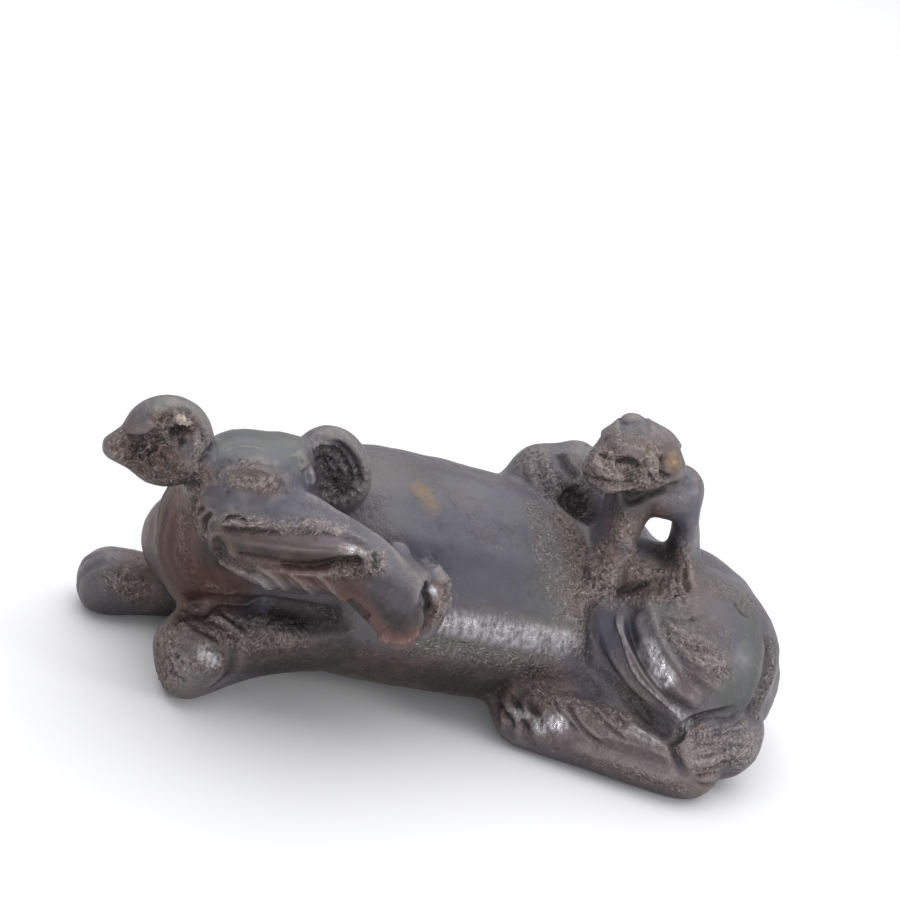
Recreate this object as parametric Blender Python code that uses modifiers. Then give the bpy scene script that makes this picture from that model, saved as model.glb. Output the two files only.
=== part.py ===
"""Copper paperweight: one small casting of a long-muzzled animal lying down.

The animal lies on its belly with both forelegs stretched ahead (-X) and its
head turned back over its near flank (-Y). A cub stands on the animal's back
between the haunches, and the tail comes round the rump to lie on the hock.
The whole figure is one closed solid that rests on its own flat underside.
Everything is in metres, +Z up, with the origin under the middle of the figure.
"""

import math

import bmesh
import bpy
import numpy as np
from mathutils import Euler, Matrix, Vector

# Driving sizes, in metres
LENGTH = 0.0760
BASE_FLAT = 0.0010
SKIN_STEP = 0.00045

# The figure is a free form: every place and radius below is in shares of its
# length, written in units of one seventy-sixth of it
UNIT = LENGTH / 76.0
BALL_CUTS = 4
RING_SIDES = 24
RING_STEPS = 6
LINE_STEPS = 8

# Rounds of softening: deep where the body masses meet, light on the finer parts
BODY_ROUNDS = 14
FIGURE_ROUNDS = 5
CARVING_ROUNDS = 2

TRIANGLES = 8800
COPPER = (0.062, 0.058, 0.064, 1.0)
NAME = "paperweight"


def clear_scene():
    """Start from an empty scene."""
    for old in list(bpy.data.objects):
        bpy.data.objects.remove(old, do_unlink=True)


def add_collection(name, hidden=False):
    """Make a collection in the scene and return it."""
    group = bpy.data.collections.new(name)
    bpy.context.scene.collection.children.link(group)
    group.hide_render = hidden
    return group


def mesh_object(name, mesh, group):
    """Wrap a mesh in an object and link it to a collection."""
    piece = bpy.data.objects.new(name, mesh)
    group.objects.link(piece)
    return piece


def blob(group, centre, radii, turn=(0.0, 0.0, 0.0)):
    """Add an egg-shaped mass: centre and half sizes in units, turn in degrees."""
    work = bmesh.new()
    bmesh.ops.create_icosphere(work, subdivisions=BALL_CUTS, radius=1.0)
    angles = Euler([math.radians(angle) for angle in turn])
    place = Matrix.LocRotScale(Vector(centre) * UNIT, angles, Vector(radii) * UNIT)
    bmesh.ops.transform(work, matrix=place, verts=work.verts)
    mesh = bpy.data.meshes.new("mass")
    work.to_mesh(mesh)
    work.free()
    return mesh_object("mass", mesh, group)


def limb(group, stations):
    """Add a round limb through stations (x, y, z, radius), with round ends."""
    curve = bpy.data.curves.new("limb", "CURVE")
    curve.dimensions = "3D"
    curve.bevel_depth = UNIT
    curve.bevel_resolution = 6
    curve.resolution_u = 8
    curve.use_fill_caps = True
    line = curve.splines.new("BEZIER")
    line.bezier_points.add(len(stations) - 1)
    for point, (x, y, z, radius) in zip(line.bezier_points, stations):
        point.co = Vector((x, y, z)) * UNIT
        point.radius = radius
        point.handle_left_type = "AUTO"
        point.handle_right_type = "AUTO"
    drawn = bpy.data.objects.new("limb", curve)
    group.objects.link(drawn)
    bpy.context.view_layer.update()
    graph = bpy.context.evaluated_depsgraph_get()
    mesh = bpy.data.meshes.new_from_object(drawn.evaluated_get(graph))
    bpy.data.objects.remove(drawn, do_unlink=True)
    work = bmesh.new()
    work.from_mesh(mesh)
    bmesh.ops.remove_doubles(work, verts=work.verts, dist=UNIT * 0.001)
    bmesh.ops.recalc_face_normals(work, faces=work.faces)
    for x, y, z, radius in (stations[0], stations[-1]):
        place = Matrix.Translation(Vector((x, y, z)) * UNIT)
        bmesh.ops.create_icosphere(work, subdivisions=BALL_CUTS, radius=radius * UNIT, matrix=place)
    work.to_mesh(mesh)
    work.free()
    return mesh_object("limb", mesh, group)


def loft(group, stations, up):
    """Add a flattened limb through stations (centre, half side, half height).

    The rings stand square to the line between stations, with their heights
    along up. Catmull-Rom steps between the stations round the line.
    """
    centres = [Vector(centre) * UNIT for centre, _, _ in stations]
    sizes = [Vector((side, height, 0.0)) * UNIT for _, side, height in stations]
    line = smooth_line(centres, RING_STEPS)
    spread = smooth_line(sizes, RING_STEPS)
    up = Vector(up).normalized()
    work = bmesh.new()
    rings = []
    for index, centre in enumerate(line):
        ahead = line[min(index + 1, len(line) - 1)] - line[max(index - 1, 0)]
        across = ahead.cross(up).normalized()
        above = across.cross(ahead).normalized()
        ring = []
        for side in range(RING_SIDES):
            angle = math.tau * side / RING_SIDES
            place = across * (math.cos(angle) * spread[index].x)
            place += above * (math.sin(angle) * spread[index].y)
            ring.append(work.verts.new(centre + place))
        rings.append(ring)
    for first, second in zip(rings, rings[1:]):
        for side in range(RING_SIDES):
            after = (side + 1) % RING_SIDES
            work.faces.new((first[side], first[after], second[after], second[side]))
    work.faces.new(rings[0])
    work.faces.new(rings[-1])
    bmesh.ops.recalc_face_normals(work, faces=work.faces)
    mesh = bpy.data.meshes.new("loft")
    work.to_mesh(mesh)
    work.free()
    return mesh_object("loft", mesh, group)


def smooth_line(points, steps):
    """Return Catmull-Rom points through the given points."""
    padded = [points[0]] + list(points) + [points[-1]]
    line = []
    for first, second, third, fourth in zip(padded, padded[1:], padded[2:], padded[3:]):
        for step in range(steps):
            share = step / steps
            pull = (third - first) * 0.5
            push = (fourth - second) * 0.5
            square = share * share
            cube = square * share
            place = second * (2 * cube - 3 * square + 1) + pull * (cube - 2 * square + share)
            place = place + third * (3 * square - 2 * cube) + push * (cube - square)
            line.append(place)
    line.append(points[-1])
    return line


def fuse(pieces, group, name, soften):
    """Fuse overlapping pieces into one skin and soften the joins between them."""
    work = bmesh.new()
    for piece in pieces:
        work.from_mesh(piece.data)
    mesh = bpy.data.meshes.new(name)
    work.to_mesh(mesh)
    work.free()
    for piece in pieces:
        bpy.data.objects.remove(piece, do_unlink=True)
    fused = mesh_object(name, mesh, group)
    remesh = fused.modifiers.new("skin", "REMESH")
    remesh.mode = "VOXEL"
    remesh.voxel_size = SKIN_STEP
    smooth = fused.modifiers.new("soften", "SMOOTH")
    smooth.factor = 0.5
    smooth.iterations = soften
    bake(fused)
    return fused


def bake(piece):
    """Replace an object's mesh with its evaluated mesh."""
    bpy.context.view_layer.update()
    graph = bpy.context.evaluated_depsgraph_get()
    mesh = bpy.data.meshes.new_from_object(piece.evaluated_get(graph))
    piece.modifiers.clear()
    piece.data = mesh


def big_masses(group):
    """Build the body: barrel, chest, neck, rump, haunches and the four legs."""
    barrel = [
        (-19.0, 5.0, 12.4, 10.0),
        (-14.5, 5.2, 12.4, 11.6),
        (-9.0, 5.0, 12.4, 12.5),
        (-3.0, 4.4, 12.2, 12.4),
        (3.0, 3.5, 12.0, 12.1),
        (9.0, 2.9, 11.2, 11.5),
        (15.0, 2.6, 10.2, 10.4),
        (21.0, 2.4, 9.4, 9.4),
        (27.0, 2.4, 9.4, 9.2),
    ]
    neck = [
        (-23.2, 3.0, 13.2, 7.6),
        (-24.6, -0.5, 18.6, 6.9),
        (-24.5, -3.8, 23.6, 5.7),
    ]
    near_foreleg = [
        (-5.0, 0.5, 8.0, 6.6),
        (-12.5, -1.8, 8.4, 5.0),
        (-18.5, -2.9, 7.0, 4.1),
        (-24.0, -3.4, 4.9, 4.0),
    ]
    near_forefoot = [
        ((-22.5, -2.9, 5.4), 3.8, 4.0),
        ((-25.6, -4.2, 4.8), 4.5, 4.6),
        ((-27.4, -5.2, 4.8), 4.4, 4.4),
        ((-28.9, -5.8, 4.8), 3.4, 3.4),
    ]
    far_foreleg = [
        (-16.0, 9.0, 8.0, 6.0),
        (-23.0, 9.4, 5.4, 4.2),
        (-29.0, 9.8, 3.8, 3.4),
        (-34.0, 10.0, 3.6, 3.8),
    ]
    near_hind_leg = [
        (25.0, -12.9, 3.9, 4.5),
        (22.8, -12.4, 3.8, 4.3),
        (19.5, -11.0, 3.7, 4.2),
        (14.0, -8.8, 3.6, 4.0),
        (9.4, -7.0, 3.7, 4.0),
    ]
    far_hind_leg = [
        (22.0, 8.0, 10.0, 6.6),
        (12.0, 9.8, 18.0, 5.0),
        (8.0, 12.6, 10.0, 4.4),
        (6.0, 13.2, 3.4, 3.6),
        (2.0, 13.6, 3.0, 3.4),
    ]
    pieces = [limb(group, barrel), limb(group, neck)]
    for stations in (near_foreleg, far_foreleg, near_hind_leg, far_hind_leg):
        pieces.append(limb(group, stations))
    pieces.append(loft(group, near_forefoot, (0.0, 0.0, 1.0)))
    pieces.append(blob(group, (-22.0, 3.8, 13.2), (8.6, 8.2, 7.8)))
    pieces.append(blob(group, (-24.4, 6.4, 11.8), (7.6, 5.8, 6.4)))
    pieces.append(blob(group, (-13.5, 11.0, 10.5), (6.6, 4.8, 7.6), (0.0, 20.0, 0.0)))
    pieces.append(blob(group, (23.5, 8.6, 8.8), (8.8, 5.4, 7.6)))
    pieces.append(blob(group, (25.9, 2.2, 9.8), (9.6, 10.0, 9.4)))
    pieces.append(blob(group, (24.9, -4.4, 11.4), (10.5, 9.4, 9.1), (20.0, 0.0, 0.0)))
    pieces.append(blob(group, (9.1, 9.0, 18.8), (4.4, 4.8, 8.0)))
    pieces.append(blob(group, (12.7, 9.2, 19.2), (4.7, 5.0, 8.4)))
    pieces.append(limb(group, [(0.0, 12.6, 18.4, 1.6), (4.0, 13.2, 18.2, 2.0), (8.0, 12.8, 18.0, 2.4)]))
    return pieces


def head_parts(group):
    """Build the head: skull, cheek, muzzle, lips and the two cupped ears."""
    pieces = [blob(group, (-24.0, -4.8, 24.7), (6.1, 6.0, 5.8))]
    pieces.append(blob(group, (-21.0, -3.8, 26.8), (4.2, 3.8, 3.7)))
    muzzle = [
        ((-23.6, -6.6, 22.4), 4.6, 5.4),
        ((-18.4, -8.4, 21.2), 4.2, 5.2),
        ((-13.4, -10.2, 20.8), 3.6, 3.5),
        ((-9.3, -11.5, 19.0), 3.6, 3.8),
        ((-7.1, -12.2, 17.9), 3.8, 3.9),
    ]
    pieces.append(loft(group, muzzle, (0.1, 0.1, 1.0)))
    pieces.append(blob(group, (-7.7, -13.0, 16.9), (2.3, 2.4, 3.5)))
    pieces.append(blob(group, (-5.0, -9.6, 16.8), (2.3, 3.4, 4.2)))
    pieces.append(blob(group, (-8.8, -9.2, 22.0), (1.5, 1.4, 1.3)))
    pieces.append(blob(group, (-32.4, -6.4, 29.6), (4.6, 3.5, 4.7)))
    pieces.append(blob(group, (-35.3, -7.0, 28.6), (3.4, 2.4, 1.9)))
    pieces.append(blob(group, (-15.3, -1.0, 25.8), (4.1, 2.9, 5.0), (0.0, -25.0, 0.0)))
    return pieces


def tail_parts(group):
    """Build the tail round the rump and its tuft on the hock."""
    tail = [
        (28.5, 5.0, 14.6, 2.4),
        (33.8, 5.0, 12.6, 2.0),
        (35.6, 1.0, 10.4, 1.8),
        (35.4, -3.4, 8.6, 1.8),
        (33.0, -7.5, 7.4, 2.2),
    ]
    pieces = [limb(group, tail)]
    pieces.append(blob(group, (29.3, -10.8, 5.7), (4.5, 4.2, 5.0)))
    return pieces


def cub_parts(group):
    """Build the cub: trunk, head, legs and paws."""
    pieces = [blob(group, (19.4, 0.0, 27.8), (4.4, 3.3, 2.9), (0.0, 18.0, 0.0))]
    pieces.append(blob(group, (21.3, 0.2, 27.7), (2.7, 3.0, 3.0)))
    pieces.append(blob(group, (15.5, -1.0, 31.5), (4.7, 3.9, 3.8)))
    pieces.append(blob(group, (12.0, -2.4, 30.6), (2.7, 2.8, 2.4)))
    pieces.append(blob(group, (14.2, 0.2, 34.8), (1.6, 1.3, 1.2)))
    pieces.append(blob(group, (19.0, -2.4, 31.4), (1.5, 1.3, 1.5)))
    forelegs = [
        ((16.2, -0.4, 28.0), 2.8, 3.2),
        ((15.6, -1.0, 23.5), 2.2, 3.2),
        ((15.2, -1.6, 17.6), 2.2, 3.4),
    ]
    hindlegs = [
        ((21.8, 0.2, 27.0), 1.9, 3.0),
        ((22.9, -0.2, 23.8), 1.2, 2.8),
        ((23.0, -0.8, 17.6), 1.6, 3.2),
    ]
    pieces.append(loft(group, forelegs, (0.0, 1.0, 0.0)))
    pieces.append(loft(group, hindlegs, (0.0, 1.0, 0.0)))
    pieces.append(blob(group, (19.2, 0.0, 17.9), (5.0, 3.6, 3.6)))
    pieces.append(blob(group, (14.6, -3.6, 18.4), (2.0, 2.0, 2.2)))
    pieces.append(blob(group, (23.2, -3.4, 18.6), (1.9, 1.9, 2.2)))
    pieces.append(limb(group, [(23.8, 0.0, 24.0, 0.8), (24.7, -1.0, 20.5, 0.8), (25.2, -2.0, 18.0, 0.8)]))
    return pieces


def carve(figure, strokes):
    """Cut grooves and raise ridges in a figure's skin.

    A stroke is (points, half width, depth): the skin within the half width of
    the line through the points sinks by the depth, or rises if it is negative.
    """
    skin = figure.data
    count = len(skin.vertices)
    places = np.empty(count * 3)
    facing = np.empty(count * 3)
    skin.vertices.foreach_get("co", places)
    skin.vertices.foreach_get("normal", facing)
    places = places.reshape(count, 3)
    facing = facing.reshape(count, 3)
    for points, width, depth in strokes:
        line = [Vector(point) * UNIT for point in points]
        if len(line) > 1:
            line = smooth_line(line, LINE_STEPS)
        found = [figure.closest_point_on_mesh(point) for point in line]
        path = np.array([hit[1] for hit in found])
        outward = np.array([hit[2] for hit in found])
        apart = np.linalg.norm(places[:, None, :] - path[None, :, :], axis=2)
        nearest = apart.argmin(axis=1)
        distance = apart[np.arange(count), nearest] / (width * UNIT)
        share = np.clip(1.0 - distance**2, 0.0, 1.0) ** 2
        share *= (facing * outward[nearest]).sum(axis=1) > 0.1
        places -= outward[nearest] * (share * depth * UNIT)[:, None]
    skin.vertices.foreach_set("co", places.ravel())
    skin.update()


def oval(centre, across, above, count=12):
    """Return a closed ring of points around a centre, in units."""
    ring = []
    for step in range(count + 1):
        angle = math.tau * step / count
        place = Vector(centre) + Vector(across) * math.cos(angle)
        ring.append(tuple(place + Vector(above) * math.sin(angle)))
    return ring


def head_carving():
    """Return the strokes of the head: ears, eyes, mouth and lips."""
    near_eye = oval((-25.1, -10.0, 27.9), (2.7, 0.2, 0.1), (0.0, 0.9, 1.2))
    far_eye = oval((-18.0, -5.2, 27.0), (0.7, 1.3, 0.4), (-0.7, -0.3, 1.3))
    mouth_top = [(-26.0, -10.1, 22.7), (-21.0, -11.6, 24.1), (-14.4, -11.8, 24.2), (-11.7, -12.0, 23.2)]
    mouth_bar = [(-25.0, -9.8, 21.7), (-22.3, -11.1, 22.3), (-18.3, -12.2, 22.9), (-13.1, -12.3, 23.2)]
    mouth_middle = [(-25.4, -10.4, 21.4), (-20.5, -12.2, 21.6), (-16.6, -13.2, 21.9), (-13.2, -13.4, 22.5)]
    mouth_bottom = [(-24.8, -9.8, 19.6), (-21.2, -11.8, 19.8), (-17.7, -12.7, 19.6), (-14.6, -13.8, 20.2)]
    jaw_rim = [(-26.0, -8.6, 20.0), (-23.0, -9.9, 18.4), (-19.3, -11.7, 18.4)]
    neck_seam = [
        (-27.4, -3.9, 9.8),
        (-25.2, -4.2, 10.7),
        (-22.6, -4.4, 11.2),
        (-17.0, -5.2, 11.3),
        (-13.5, -6.2, 11.6),
    ]
    return [
        ([(-31.4, -9.4, 31.0), (-33.2, -9.4, 29.8), (-35.8, -9.0, 29.2)], 2.6, 1.9),
        ([(-31.6, -9.2, 28.2), (-34.2, -8.6, 27.8)], 2.2, 0.8),
        ([(-16.2, -3.8, 27.4), (-14.8, -3.8, 24.8)], 3.3, 2.2),
        (near_eye, 0.8, 0.3),
        (far_eye, 0.7, 0.4),
        ([(-28.6, -8.0, 28.6), (-26.8, -8.0, 29.8), (-23.8, -8.2, 30.0), (-21.0, -8.0, 29.2)],
         0.9, -0.4),
        (mouth_top, 1.0, 0.4),
        (mouth_bar, 1.3, -0.4),
        (mouth_middle, 1.0, 0.7),
        (mouth_bottom, 1.1, 0.3),
        (jaw_rim, 0.9, -0.4),
        ([(-28.6, -8.7, 24.6), (-27.4, -9.0, 22.0)], 0.8, 0.4),
        (neck_seam, 1.6, 1.1),
        ([(-6.4, -13.6, 20.6), (-5.6, -12.8, 18.2), (-5.6, -12.4, 15.4)], 1.1, 0.7),
    ]


def body_carving():
    """Return the strokes of the two haunches and the hollow before the far one."""
    near_groove = [
        (13.9, -6.1, 16.2),
        (13.6, -7.0, 14.9),
        (14.8, -7.9, 11.9),
        (17.1, -10.5, 9.7),
        (20.3, -12.8, 8.1),
        (22.4, -14.0, 7.4),
    ]
    near_ridge = [
        (16.6, -6.7, 15.9),
        (16.8, -8.8, 14.6),
        (18.2, -11.0, 13.3),
        (21.0, -13.0, 11.2),
        (23.6, -13.5, 9.1),
    ]
    near_fold = [(17.6, -6.5, 16.8), (18.2, -9.4, 15.2), (20.2, -12.0, 13.4), (23.3, -13.2, 11.2)]
    inner_ridge = [(19.0, -6.3, 17.9), (19.6, -9.4, 16.4), (22.0, -12.0, 14.2)]
    tail_groove = [(31.5, -8.6, 17.2), (31.7, -10.4, 14.8), (31.3, -11.9, 12.0), (30.9, -12.6, 10.0)]
    far_groove = [(15.0, 13.6, 13.0), (16.4, 13.8, 8.0), (20.0, 14.0, 4.6), (25.0, 13.6, 3.0)]
    far_ridge = [(18.6, 13.8, 13.6), (19.4, 14.0, 9.4), (22.4, 14.0, 6.4)]
    return [
        (near_groove, 1.5, 1.2),
        (near_ridge, 0.9, -0.6),
        (near_fold, 1.1, 0.9),
        (inner_ridge, 1.0, -0.5),
        (tail_groove, 0.9, 0.6),
        ([(12.0, 4.2, 22.4), (14.0, 3.8, 21.0)], 2.4, 1.2),
        (far_groove, 1.4, 0.8),
        (far_ridge, 1.0, -0.4),
    ]


def foot_carving():
    """Return the strokes between the toes of the big feet and the tail's locks."""
    strokes = [
        ([(6.3, -7.0, 6.9), (5.0, -7.3, 4.8), (5.6, -8.6, 2.6)], 0.8, 0.6),
        ([(7.6, -8.6, 7.0), (6.4, -9.6, 4.6), (6.9, -10.0, 2.2)], 0.8, 0.6),
        ([(9.2, -9.8, 6.4), (8.4, -10.9, 4.2), (8.8, -11.0, 2.2)], 0.8, 0.6),
        ([(-28.6, -4.6, 8.6), (-26.4, -3.6, 9.2)], 0.8, 0.5),
        ([(-28.0, -6.8, 8.4), (-25.6, -5.8, 9.3)], 0.8, 0.5),
    ]
    for step in range(3):
        side = 1.5 * (step - 1)
        far_fore = [(-35.6, 10.0 + side, 7.0), (-37.8, 10.0 + side, 4.0), (-37.0, 10.0 + side, 1.4)]
        far_hind = [(0.2, 13.6 + side, 6.2), (-1.4, 13.6 + side, 3.2), (-0.8, 13.6 + side, 1.2)]
        strokes.append((far_fore, 0.7, 0.5))
        strokes.append((far_hind, 0.7, 0.5))
    for step in range(4):
        drop = 1.5 * step
        lock = [(31.4, -12.6, 9.9 - drop), (27.5, -13.8, 9.2 - drop), (25.0, -13.8, 8.6 - drop)]
        strokes.append((lock, 0.7, 0.45))
    return strokes


def cub_carving():
    """Return the strokes of the cub: brow, eye, mouth, hole and toes."""
    strokes = [
        ([(12.0, -3.6, 33.8), (14.4, -4.6, 33.4), (16.6, -4.6, 32.2)], 0.8, -0.45),
        ([(12.4, -4.4, 32.2), (14.4, -5.0, 31.6)], 1.0, 0.7),
        ([(10.4, -4.6, 29.8), (13.2, -5.2, 29.6)], 0.7, 0.5),
        ([(14.6, -4.2, 28.0), (16.6, -3.8, 28.4), (18.8, -3.4, 29.6)], 1.2, 0.8),
    ]
    for step in range(3):
        side = 1.1 * (step - 1)
        strokes.append(([(14.2 + side, -5.4, 19.6), (13.8 + side, -5.8, 17.2)], 0.5, 0.4))
        strokes.append(([(23.0 + side, -5.2, 19.8), (22.8 + side, -6.2, 18.6)], 0.5, 0.35))
    return strokes


def file_base(figure):
    """File the underside flat and set the origin under the figure's middle."""
    corners = np.array([corner[:] for corner in figure.bound_box])
    low = corners.min(axis=0)
    high = corners.max(axis=0)
    centre = Vector(((low[0] + high[0]) / 2.0, (low[1] + high[1]) / 2.0, low[2] + BASE_FLAT))
    figure.data.transform(Matrix.Translation(-centre))
    cutters = add_collection("cutters")
    bpy.ops.mesh.primitive_cube_add(size=1.0, location=(0.0, 0.0, -LENGTH))
    file = bpy.context.object
    file.name = "file"
    file.scale = (2.0 * LENGTH, 2.0 * LENGTH, 2.0 * LENGTH)
    for owner in list(file.users_collection):
        owner.objects.unlink(file)
    cutters.objects.link(file)
    file.hide_render = True
    file.display_type = "WIRE"
    cut = figure.modifiers.new("flat_base", "BOOLEAN")
    cut.operation = "DIFFERENCE"
    cut.solver = "EXACT"
    cut.object = file
    return centre


def copper_finish():
    """Make the dark, worn copper finish of the casting."""
    finish = bpy.data.materials.new("patinated_copper")
    finish.use_nodes = True
    shader = finish.node_tree.nodes["Principled BSDF"]
    shader.inputs["Base Color"].default_value = COPPER
    shader.inputs["Roughness"].default_value = 0.42
    shader.inputs["Metallic"].default_value = 0.7
    finish.diffuse_color = COPPER
    return finish


def main():
    """Build the casting."""
    clear_scene()
    group = add_collection(NAME)
    body = fuse(big_masses(group), group, "body", BODY_ROUNDS)
    pieces = [body] + head_parts(group) + tail_parts(group) + cub_parts(group)
    figure = fuse(pieces, group, NAME, FIGURE_ROUNDS)
    carve(figure, head_carving() + body_carving() + foot_carving() + cub_carving())
    soften = figure.modifiers.new("soften", "SMOOTH")
    soften.factor = 0.5
    soften.iterations = CARVING_ROUNDS
    decimate = figure.modifiers.new("facets", "DECIMATE")
    decimate.ratio = TRIANGLES / (2.0 * len(figure.data.polygons))
    bake(figure)
    shift = file_base(figure)
    figure.data.materials.append(copper_finish())
    return shift


if __name__ == "__main__":
    main()
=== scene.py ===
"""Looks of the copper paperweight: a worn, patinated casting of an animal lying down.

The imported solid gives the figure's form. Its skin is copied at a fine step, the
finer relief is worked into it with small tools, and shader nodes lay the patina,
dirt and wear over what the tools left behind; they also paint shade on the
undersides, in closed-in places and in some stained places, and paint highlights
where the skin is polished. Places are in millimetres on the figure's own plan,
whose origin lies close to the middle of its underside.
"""

from __future__ import annotations

import logging
import math
from collections.abc import Iterable
from dataclasses import dataclass, field
from enum import Enum

import bpy
import numpy as np
from mathutils import Matrix, Vector, noise
from mathutils.bvhtree import BVHTree
from mathutils.kdtree import KDTree

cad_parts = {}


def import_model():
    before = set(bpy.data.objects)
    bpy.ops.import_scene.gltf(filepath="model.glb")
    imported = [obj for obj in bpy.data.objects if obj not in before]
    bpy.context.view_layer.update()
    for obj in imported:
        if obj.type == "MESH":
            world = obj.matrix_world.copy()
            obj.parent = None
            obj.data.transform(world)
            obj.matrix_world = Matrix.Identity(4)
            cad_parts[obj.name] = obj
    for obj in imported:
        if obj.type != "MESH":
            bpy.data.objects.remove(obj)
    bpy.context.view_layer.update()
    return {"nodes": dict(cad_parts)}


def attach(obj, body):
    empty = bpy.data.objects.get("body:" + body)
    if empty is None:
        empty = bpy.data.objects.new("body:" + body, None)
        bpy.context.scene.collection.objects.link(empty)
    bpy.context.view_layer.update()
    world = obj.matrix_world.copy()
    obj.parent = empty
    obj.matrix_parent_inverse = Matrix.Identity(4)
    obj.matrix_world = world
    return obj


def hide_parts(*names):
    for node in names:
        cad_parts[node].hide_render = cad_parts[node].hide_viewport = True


NODE = "paperweight"
BODY = "root"
MM = 0.001

# Where the plan's origin lies in the row's frame, in millimetres
PLAN_ORIGIN = np.array((0.498, -0.055, -0.535))

# The ways that the wrinkles of a rough place run
GRAIN_WAYS = (
    Vector((0.96, -0.15, 0.22)),
    Vector((-0.12, 0.47, 0.87)),
    Vector((0.59, 0.22, 0.76)),
    Vector((0.76, -0.43, -0.46)),
)

Point = tuple[float, float, float]
Path = tuple[Point, ...]
Colour = tuple[float, float, float]

log = logging.getLogger("paperweight")


class Cut(Enum):
    """How a tool shapes the skin across its path."""

    ROUND = "round"
    SHARP = "sharp"
    FOLD = "fold"


class Mark(Enum):
    """What the skin carries besides its form. Each is a value from 0 to 1."""

    HOLLOW = "hollow"
    CREST = "crest"
    # How closed in the skin is, for painted shade and for less rubbing
    SHELTER = "shelter"
    # Dark soot in grooves, pits and hollows, and painted shade laid by some stains
    SOOT_AND_SHADE = "soot_and_shade"
    DUST = "dust"
    WARM = "warm"
    GOLD = "gold"
    # Polished, glossier places, which also carry a painted highlight
    POLISH_AND_PAINTED_HIGHLIGHT = "polish_and_painted_highlight"
    SMOOTH = "smooth"
    ROUGH = "rough"
    GREEN = "green"
    RUDDY = "ruddy"
    CREAM = "cream"
    # How far the skin faces down, for painted shade on the undersides
    UNDERSIDE_SHADE = "under"


@dataclass(frozen=True)
class Stroke:
    """One pass of a tool along the skin.

    Attributes:
        path: places that the tool goes through, on the plan.
        width: half the width of the mark, in millimetres.
        depth: how far the skin sinks, or rises if it is negative.
        cut: the shape across the mark.
        soot_and_shade: how much dark dirt and painted shade stay in the mark, from 0 to 1.
        run_out: share of the length over which each end fades.
    """

    path: Path
    width: float
    depth: float
    cut: Cut = Cut.ROUND
    soot_and_shade: float = 0.0
    run_out: float = 0.25


@dataclass(frozen=True)
class Stain:
    """A soft-edged place that carries a mark.

    Attributes:
        mark: what it carries.
        path: the line that it lies along, on the plan.
        reach: how far it goes to both sides, in millimetres.
        strength: the mark's value in the middle.
    """

    mark: Mark
    path: Path
    reach: float
    strength: float = 1.0


@dataclass(frozen=True)
class Stipple:
    """A soft-edged place whose skin is wrinkled and rough.

    Attributes:
        path: the line that it lies along, on the plan.
        reach: how far it goes to both sides, in millimetres.
        height: how far the wrinkles stand up.
        grain: how far apart they are.
        dust: how much pale dust stays on them.
    """

    path: Path
    reach: float
    height: float
    grain: float = 0.8
    dust: float = 0.3


@dataclass(frozen=True)
class Burnish:
    """A soft-edged place that is rubbed smooth before the tools go over it.

    Attributes:
        path: the line that it lies along, on the plan.
        reach: how far it goes to both sides, in millimetres.
        strength: how much of the old marks is rubbed away.
    """

    path: Path
    reach: float
    strength: float = 0.7


def smooth_path(path: Iterable[Point], step: float) -> np.ndarray:
    """Draw a Catmull-Rom line through points.

    Args:
        path: the points it goes through.
        step: the longest step wanted between its own points.

    Returns:
        The line's points, one a row.
    """
    points = np.array(list(path), float)
    if len(points) == 1:
        return points
    padded = np.vstack([points[:1], points, points[-1:]])
    rows = []
    for first, second, third, fourth in zip(padded, padded[1:], padded[2:], padded[3:]):
        count = max(2, int(np.linalg.norm(third - second) / step) + 1)
        share = (np.arange(count) / count)[:, None]
        square, cube = share**2, share**3
        rows.append(
            0.5
            * (
                2.0 * second
                + (third - first) * share
                + (2.0 * first - 5.0 * second + 4.0 * third - fourth) * square
                + (3.0 * second - first - 3.0 * third + fourth) * cube
            )
        )
    rows.append(points[-1:])
    return np.vstack(rows)


def ease(value: np.ndarray) -> np.ndarray:
    """Return a value's smooth step from 0 to 1."""
    held = np.clip(value, 0.0, 1.0)
    return held * held * (3.0 - 2.0 * held)


def strands(
    first: Path, last: Path, count: int, width: float, depth: float, seed: int, stray: float = 0.25
) -> list[Stroke]:
    """Lay a row of hair-like strokes from one path over to another.

    Args:
        first: the path of the first strand.
        last: the path of the last one, with as many points.
        count: how many strands there are.
        width: half the width of each, in millimetres.
        depth: the depth of each.
        seed: seed of their stray.
        stray: how far a strand's points wander, in millimetres.

    Returns:
        The strokes.
    """
    chance = np.random.default_rng(seed)
    start, stop = np.array(first), np.array(last)
    laid = []
    for index in range(count):
        share = (index + 0.5) / count
        line = start * (1.0 - share) + stop * share
        line = line + chance.normal(0.0, stray * 0.5, line.shape)
        deep = depth * chance.uniform(0.6, 1.2)
        path = tuple(tuple(float(value) for value in point) for point in line)
        laid.append(Stroke(path, width, deep, Cut.SHARP, 0.35))
    return laid


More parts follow.
